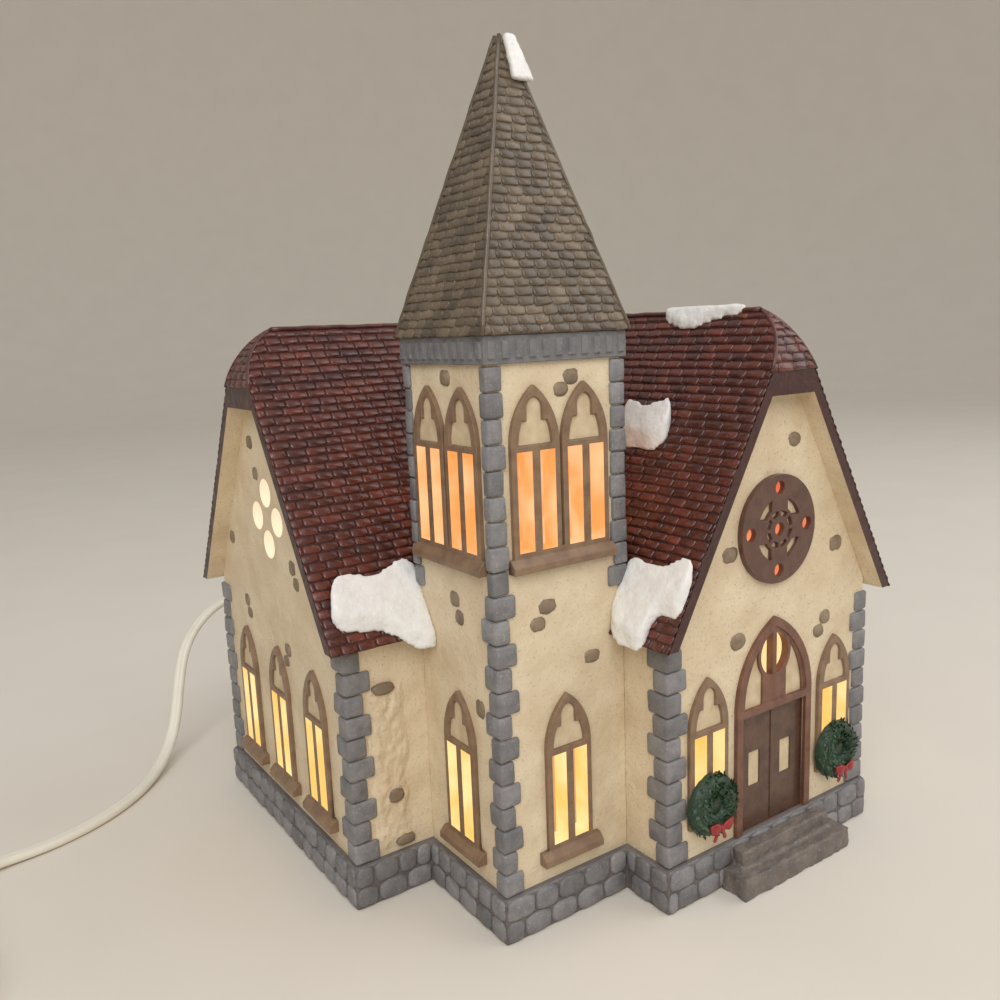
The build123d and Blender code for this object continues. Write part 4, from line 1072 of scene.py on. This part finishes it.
def make_plinth():
    """Rough blocks in two courses on a mortar bed, all round the foot."""
    bed = [mortar, cornice_stone]
    house_look(
        "stone_plinth", "stone_grey", PLINTH_BEVEL, bed, pick_plinth, clamp=True, seats=wall_planes
    )
    blocks = Heap()
    proud = wall_low.x - plinth_low.x
    x0, x1, y0, y1 = plinth_low.x, plinth_high.x, plinth_low.y, plinth_high.y
    inner_x, inner_y = tower.x - proud, tower.y - proud
    corners = [
        (x1, y0), (inner_x, y0), (inner_x, -proud), (-proud, -proud), (-proud, inner_y), (x0, inner_y),
        (x0, y1), (x1, y1),
    ]
    top = plinth_high.z - BLOCK_EDGE
    for start, end in zip(corners, corners[1:] + corners[:1]):
        start, end = Vector((*start, 0)), Vector((*end, 0))
        along = (end - start).normalized()
        out = -along.cross(UP)
        length = (end - start).length
        for first, low, high in ((0.4, BLOCK_EDGE, top / 2), (-2.1, top / 2 + BED_JOINT, top)):
            spot = first
            while spot < length - RUN_END:
                wide = draw(5.5, 9.5)
                one, two = max(spot, BLOCK_EDGE), min(spot + wide, length - BLOCK_EDGE)
                spot += wide + BLOCK_JOINT
                if two - one < LEAST_BLOCK:
                    continue
                middle = start + along * ((one + two) / 2) + UP * ((low + high) / 2)
                outline = blob(middle, along, UP, two - one, high - low, count=14, shake=0.06, power=4.0)
                heights = [draw(0.45, 0.85)] * len(outline)
                tone = draw(0.72, 1.1)
                blocks.pad(outline, out, heights, sink=0.3, edge=0.8, drop=0.4, tone=tone)
    dress(blocks.piece("plinth_blocks", stone), "house", "stone_grey")


make_quoins()
make_plinth()

# Stones let into the walls: along the wall, up, width and height

wall_faces = {
    "tower_front": ((0, 0, 0), (1, 0, 0), (0, -1, 0)),
    "tower_left": ((0, 0, 0), (0, 1, 0), (-1, 0, 0)),
    "left_gable": ((wall_low.x, 0, 0), (0, 1, 0), (-1, 0, 0)),
    "left_front": ((0, tower.y, 0), (1, 0, 0), (0, -1, 0)),
    "front_gable": ((0, wall_low.y, 0), (1, 0, 0), (0, -1, 0)),
    "right": ((wall_high.x, 0, 0), (0, 1, 0), (1, 0, 0)),
    "back": ((0, wall_high.y, 0), (1, 0, 0), (0, 1, 0)),
}
wall_stones = {
    "tower_front": [
        (25.5, 146.6, 5, 4), (22.2, 143.6, 4.6, 3.6), (16, 88.6, 5.6, 4.2), (12.8, 84.4, 5, 3.8),
        (30.5, 71.8, 5.4, 4),
    ],
    "tower_left": [(18.5, 147.3, 5, 4.2), (19, 89.5, 4.6, 4.4), (17, 84.8, 4.4, 4.2), (8.8, 62, 4.6, 5)],
    "left_gable": [
        (97, 127.6, 5, 4.4), (94, 118, 4.6, 4), (122, 93.5, 5, 4.4), (69.5, 92.5, 4.6, 4.6),
        (67.5, 88, 4.4, 4), (112, 73.5, 4.6, 4.4), (110.4, 69.5, 4.2, 3.8), (78.5, 65, 5, 4.4),
        (80.2, 61, 4.4, 3.6), (46, 73.5, 4.6, 4),
    ],
    "left_front": [(-13.6, 62.4, 7, 3.4), (-11.6, 30, 5, 4.2), (-9.4, 15.6, 6, 3)],
    "front_gable": [
        (92, 125.4, 5.4, 4.2), (65.8, 96.4, 6, 4.6), (111.8, 92.4, 6, 4.6), (107.4, 70.4, 5, 4.4),
        (104.6, 66.6, 4.8, 4.2), (69.2, 71.2, 6.2, 5),
    ],
    "right": [
        (-2, 66, 5.4, 4.4), (42, 69, 5.2, 4.2), (45, 65.4, 4.6, 3.8), (96, 67, 5.4, 4.4),
        (118, 34, 5, 4.2),
    ],
    "back": [
        (84, 112, 5.6, 4.4), (87, 107.6, 4.8, 4), (60, 78, 5.4, 4.4), (104, 60, 5.4, 4.4),
        (107, 56, 4.8, 3.8), (46, 34, 5.4, 4.2), (-12, 32, 5, 4.2), (88, 28, 5.4, 4.4),
    ],
}
STONE_PROUD = 0.42
PLASTER_STONE_PROUD = 1.5  # where the rough plaster lies round the stones


def make_wall_stones():
    stones = Heap()
    for wall, spots in wall_stones.items():
        start, along, out = [Vector(value) for value in wall_faces[wall]]
        proud = PLASTER_STONE_PROUD if wall == "left_front" else STONE_PROUD
        for spot, height, wide, tall in spots:
            middle = start + along * spot + UP * height
            outline = blob(middle, along, UP, wide, tall, count=14, shake=0.12, power=2.8)
            tone = draw(0.82, 1.05)
            stones.pad(outline, out, [proud] * len(outline), sink=0.3, edge=1.0, drop=0.3, tone=tone)
    dress(stones.piece("wall_stones", patch_stone), "house", "stone_grey")


def make_stucco():
    """A patch of rough plaster on the left wing's short front wall."""
    columns, rows = 30, 100
    low, high, left, right = 13.5, 64.0, -19.0, -6.6
    side_slope, end_slope = 5, 12
    least_rough, thick, sunk = 0.15, 1.2, 0.1
    points = []
    for row in range(rows + 1):
        for column in range(columns + 1):
            u, v = column / columns, row / rows
            x, z = left + u * (right - left), low + v * (high - low)
            rim = min(u, 1 - u) * side_slope + noise.noise(Vector((x * 0.2, z * 0.16, 4))) * 0.8
            rim = min(rim, min(v, 1 - v) * end_slope)
            rough = 0.6 + 0.5 * noise.noise(Vector((x * 0.45, z * 0.3, 1)))
            rough += 0.45 * abs(noise.noise(Vector((x * 1.1, z * 0.7, 7))))
            raised = min(max(rim, 0.0), 1.0) * max(rough, least_rough) * thick - sunk
            points.append((x, tower.y - raised, z))
    patch = Heap()
    patch.add(points, band_faces(rows + 1, columns + 1, closed=False))
    dress(patch.piece("rough_plaster", cream), "house", "wall_ceramic")


make_wall_stones()
make_stucco()

# Windows and door

VOXEL = 0.45
LUMPS_PER_METRE = 320
FINE_LUMPS_PER_METRE = 900
FINE_SHARE = 0.4
FRAME_BEVEL = 0.22
ROSE_BEVEL = 0.2
LEAF_BEVEL = 0.12
LEVEL_REACH = 0.15
FRAME_EDGE = 0.5  # from a frame's outer sides, where nothing glows
SIDE_FACING = 0.3  # of a normal out of the wall, for the side of a light
GROOVE = 2.0  # on each side of the door's middle
LIT = 2  # the third material of a window
window_rows = [
    ("window_left", 3, (0, -1, wall_low.x)),
    ("window_front", 2, (1, -1, wall_low.y)),
    ("window_side", 3, (0, 1, wall_high.x)),
]
window_faces = {
    f"{row}_{number + 1}": face for row, count, face in window_rows for number in range(count)
}
window_faces |= {
    "window_tower_1": (1, -1, 0.0),
    "window_tower_2": (0, -1, 0.0),
    "belfry_front": (1, -1, 0.0),
    "belfry_left": (0, -1, 0.0),
    "belfry_back": (1, 1, tower.y),
    "belfry_right": (0, 1, tower.x),
}


def weathered(node, material, rounds, swell, lumps):
    """A CAD node remeshed, smoothed and made uneven, as snow or worn stone."""
    mesh = nodes[node].data.copy()
    mesh.materials.clear()
    obj = new_object("look_" + node, mesh)
    remesh = obj.modifiers.new("remesh", "REMESH")
    remesh.mode = "VOXEL"
    remesh.voxel_size = VOXEL * MM
    smooth = obj.modifiers.new("smooth", "SMOOTH")
    smooth.factor = 0.5
    smooth.iterations = rounds
    bpy.context.view_layer.update()
    graph = bpy.context.evaluated_depsgraph_get()
    soft = bpy.data.meshes.new_from_object(obj.evaluated_get(graph))
    obj.modifiers.clear()
    obj.data = soft
    for vert in soft.vertices:
        lump = noise.noise(vert.co * LUMPS_PER_METRE) * lumps
        lump += noise.noise(vert.co * FINE_LUMPS_PER_METRE) * lumps * FINE_SHARE
        vert.co += vert.normal * (lump + swell) * MM
        vert.co.z = max(vert.co.z, 0.0)
    soft.materials.append(material)
    soft.shade_smooth()
    return obj


def sunk_faces(axis, sign, plane, level):
    """Picks the second material for faces that look out at that level above a wall's plane."""

    def pick(place, normal):
        off = sign * (place[axis] - plane) - level
        return int(abs(off) < LEVEL_REACH and normal[axis] * sign > FACING)

    return pick


def frame_faces(node, axis, sign, plane):
    """Picks a window's sunk head, and the sides of its lights, which the lamp shines on."""
    low, high = node_box(node)
    side = 1 - axis
    middle = (low[side] + high[side]) / 2
    light_top = high.z - ARCH_RISE - TRANSOM
    arches, half = [0.0], LANCET / 2
    if node.startswith("belfry"):
        pair = min(tower.x, tower.y) - 2 * BELFRY_MARGIN
        half = (pair - BELFRY_JOIN) / 4
        arches = [half + BELFRY_JOIN / 2, -half - BELFRY_JOIN / 2]
    elif node.startswith("window_front"):
        half = (high[side] - low[side]) / 2
    head = sunk_faces(axis, sign, plane, FRAME_PROUD - HEAD_DEPTH)

    def pick(place, normal):
        offset = place[side] - middle
        inside = min(abs(abs(offset - arch) - half) for arch in arches) > FRAME_EDGE
        beside = light_top - LIGHT_HEIGHT - SKIN < place.z < light_top + SKIN
        if inside and beside and abs(normal[axis]) < SIDE_FACING:
            return LIT
        return head(place, normal)

    return pick


def make_windows():
    for node, (axis, sign, plane) in window_faces.items():
        inner = belfry_glow if node.startswith("belfry") else room_glow
        pick = frame_faces(node, axis, sign, plane)
        looks = [taupe, recess_cream, inner]
        house_look(node, "frame_taupe", FRAME_BEVEL, looks, pick, crisp=(LIT,), seats=[(axis, plane)])
    front = (1, -1, wall_low.y)
    seats = [(1, wall_low.y)]
    looks = [rose_paint, recess_cream]
    sunk = sunk_faces(*front, ROSE_PROUD)
    house_look("rose_window", "door_brown", ROSE_BEVEL, looks, sunk, seats=seats)
    looks = [arch_paint, recess_cream]
    house_look("door_surround", "door_brown", FRAME_BEVEL, looks, sunk_faces(*front, 0.0), seats=seats)
    pane = sunk_faces(*front, -PANE_DEPTH)

    def pick_leaf(place, normal):
        """The panes, but not the groove between the leaves."""
        return pane(place, normal) if abs(place.x - ridge_x) > GROOVE else 0

    house_look("door_leaves", "door_brown", LEAF_BEVEL, [door_paint, recess_cream], pick_leaf)
    steps = weathered("front_steps", step_stone, rounds=5, swell=0.0, lumps=0.5)
    dress(steps, "house", "stone_grey", "front_steps")


make_windows()

# Wreaths and snow

RING_POINTS = 48
SECTION_POINTS = 12
RING_SHARE = 0.86  # of the section, under the leaves
LEAVES = 420
LEAF_ROOT_SHARE = 0.72
LOOP_STEPS = 8
TAIL_STEPS = 5
KNOT_POINTS = 8


def wreath_ring(leaves, number, middle, back, ring, section):
    """A rough half-round ring under the leaves, and a pad that fills its heart."""
    points = []
    for turn in range(RING_POINTS):
        angle = 2 * pi * turn / RING_POINTS
        spoke = Vector((cos(angle), 0, sin(angle)))
        for step in range(SECTION_POINTS):
            lean = pi * step / (SECTION_POINTS - 1)
            place = spoke * (ring + cos(lean) * section)
            place.y = -sin(lean) * section
            rough = 1 + 0.16 * noise.noise(place * 0.9 + Vector((number * 7, 0, 0)))
            spot = spoke * ring
            place = spot + (place - spot) * RING_SHARE * rough
            points.append((middle.x + place.x, back + min(place.y, -0.02), middle.z + place.z))
    faces = band_faces(RING_POINTS, SECTION_POINTS, closed=False, looped=True, flip=True)
    # Painted shade: the ring under the leaves, and the pad in its heart below, take a darker tone (0.6)
    # than the leaves.
    leaves.add(points, faces, 0.6)
    spot = Vector((middle.x, back, middle.z))
    heart = blob(spot, Vector((1, 0, 0)), UP, ring * 1.1, ring * 1.1)
    leaves.pad(heart, OUTWARD, [section * 0.6] * len(heart), sink=0.0, edge=1.0, drop=0.8, tone=0.6)


def make_wreaths():
    """Leafy rings, each with a ribbon bow."""
    for number in (1, 2):
        low, high = node_box(f"wreath_{number}")
        middle = (low + high) / 2
        back = high.y
        section = high.y - low.y
        ring = (high.x - low.x) / 2 - section
        leaves = Heap()
        wreath_ring(leaves, number, middle, back, ring, section)
        spot = Vector((middle.x, back, middle.z))
        for _ in range(LEAVES):
            angle = draw(0, 2 * pi)
            lean = draw(0.1, pi - 0.1)
            spoke = Vector((cos(angle), 0, sin(angle)))
            out = (spoke * cos(lean) + OUTWARD * sin(lean)).normalized()
            root = spot + spoke * ring + out * section * LEAF_ROOT_SHARE
            way = Vector((-sin(angle), 0, cos(angle))) * draw(0.5, 1.0)
            way += out * draw(0.25, 0.6)
            way += Vector((draw(-0.5, 0.5), draw(-0.3, 0.1), draw(-0.5, 0.5)))
            way.normalize()
            side = way.cross(out).normalized()
            long, wide = draw(1.5, 2.4), draw(0.35, 0.55)
            tip = root + way * long
            mid = root + way * long * 0.5 + out * 0.18
            for end in (tip, mid):
                end.y = min(end.y, back - 0.05)
            blade = [root, mid + side * wide, tip, mid - side * wide, mid + out * 0.22]
            leaves.add(blade, [(0, 1, 4), (1, 2, 4), (2, 3, 4), (3, 0, 4)], draw(0.75, 1.35))
        dress(leaves.piece(f"leaves_{number}", wreath_green), "house", "wreath_green", f"wreath_{number}")
        make_bow(number)


def ribbon_strip(ribbon, line, widths, thick):
    """A flat ribbon that faces out, along a line of places."""
    points = []
    for step, place in enumerate(line):
        way = (line[min(step + 1, len(line) - 1)] - line[max(step - 1, 0)]).normalized()
        face = way.cross(OUTWARD).normalized()
        for a, b in ((-1, -1), (1, -1), (1, 1), (-1, 1)):
            points.append(place + face * (a * widths[step] / 2) + OUTWARD * (b * thick / 2))
    ribbon.add(points, bar_faces(len(line), 4))


def make_bow(number):
    """Two ribbon loops, a knot and two tails."""
    low, high = node_box(f"wreath_bow_{number}")
    middle = Vector(((low.x + high.x) / 2, low.y + 1.2, (low.z + high.z) / 2))
    half, rise = (high.x - low.x) / 2, (high.z - low.z) / 2
    ribbon = Heap()
    for side in (-1, 1):
        line, widths = [], []
        for step in range(LOOP_STEPS + 1):
            share = step / LOOP_STEPS
            bulge = sin(share * pi)
            reach = side * half * 0.92 * share
            line.append(middle + Vector((reach, -bulge * 0.7, 0.5 * bulge + 0.4 * share)))
            widths.append(0.9 + 2.86 * sin(min(share * 1.25, 1.0) * pi * 0.62))
        ribbon_strip(ribbon, line, widths, thick=1.1)
        line, widths = [], []
        for step in range(TAIL_STEPS + 1):
            share = step / TAIL_STEPS
            reach = side * (0.4 + 1.9 * share)
            line.append(middle + Vector((reach, 0.25 + 0.3 * share, -rise * 1.1 * share - 0.3)))
            widths.append(1.0 + 0.6 * share)
        ribbon_strip(ribbon, line, widths, thick=0.6)
    knot = []
    for step in range(KNOT_POINTS):
        angle = 2 * pi * step / KNOT_POINTS
        knot.append(middle + Vector((cos(angle) * 1.15, -0.1, sin(angle) * 1.25)))
    ribbon.pad(knot, OUTWARD, [0.95] * KNOT_POINTS, sink=0.6, edge=0.55, drop=0.4, tone=1.0)
    bow = ribbon.piece(f"bow_{number}", ribbon_red)
    dress(bow, "house", "ribbon_red", f"wreath_bow_{number}")
    rounding = bow.modifiers.new("rounding", "SUBSURF")
    rounding.levels = rounding.render_levels = 1


def make_snow():
    for node in ("snow_left_eave", "snow_front_eave", "snow_drift", "snow_ridge", "snow_spire"):
        snow = weathered(node, snow_white, rounds=22, swell=0.3, lumps=0.28)
        dress(snow, "house", "snow_white", node)


make_wreaths()
make_snow()

# Studio, in metres


def make_floor():
    """A pale floor that curves up into a backdrop all round."""
    flat, bend, top, bend_steps, sides = 1.6, 1.2, 1.6, 12, 64
    rings = [(flat, 0.0)]
    for step in range(1, bend_steps + 1):
        angle = pi / 2 * step / bend_steps
        rings.append((flat + bend * sin(angle), bend * (1 - cos(angle))))
    rings.append((flat + bend, top))
    points = []
    for reach, height in rings:
        for side in range(sides):
            angle = 2 * pi * side / sides
            points.append((reach * cos(angle), reach * sin(angle), height))
    mesh = bpy.data.meshes.new("floor")
    mesh.from_pydata(points, [], [tuple(range(sides))] + band_faces(len(rings), sides, flip=True))
    mesh.shade_smooth()
    pale = paint("floor", (226, 219, 208), (221, 214, 203), 60.0, 0.5, rough=0.7, rough_spread=0.05)
    mesh.materials.append(pale)
    new_object("floor", mesh)


def make_light():
    """A soft sky and two large soft lights: place, size and power."""
    world = bpy.data.worlds.new("sky")
    world.use_nodes = True
    sky = world.node_tree.nodes["Background"]
    sky.inputs["Color"].default_value = (1.0, 0.98, 0.95, 1.0)
    sky.inputs["Strength"].default_value = 0.5
    bpy.context.scene.world = world
    aim = Vector((0, 0, 0.09))
    lights = {"key": ((-0.55, -0.75, 0.9), 0.9, 9.0), "fill": ((0.8, -0.5, 0.7), 1.0, 4.0)}
    for name, (place, size, power) in lights.items():
        data = bpy.data.lights.new(name, "AREA")
        data.size = size
        data.energy = power
        light = new_object(name, data)
        light.location = place
        light.rotation_mode = "QUATERNION"
        light.rotation_quaternion = (aim - light.location).to_track_quat("-Z", "Y")


make_floor()
make_light()
bpy.context.scene.view_settings.view_transform = "Standard"
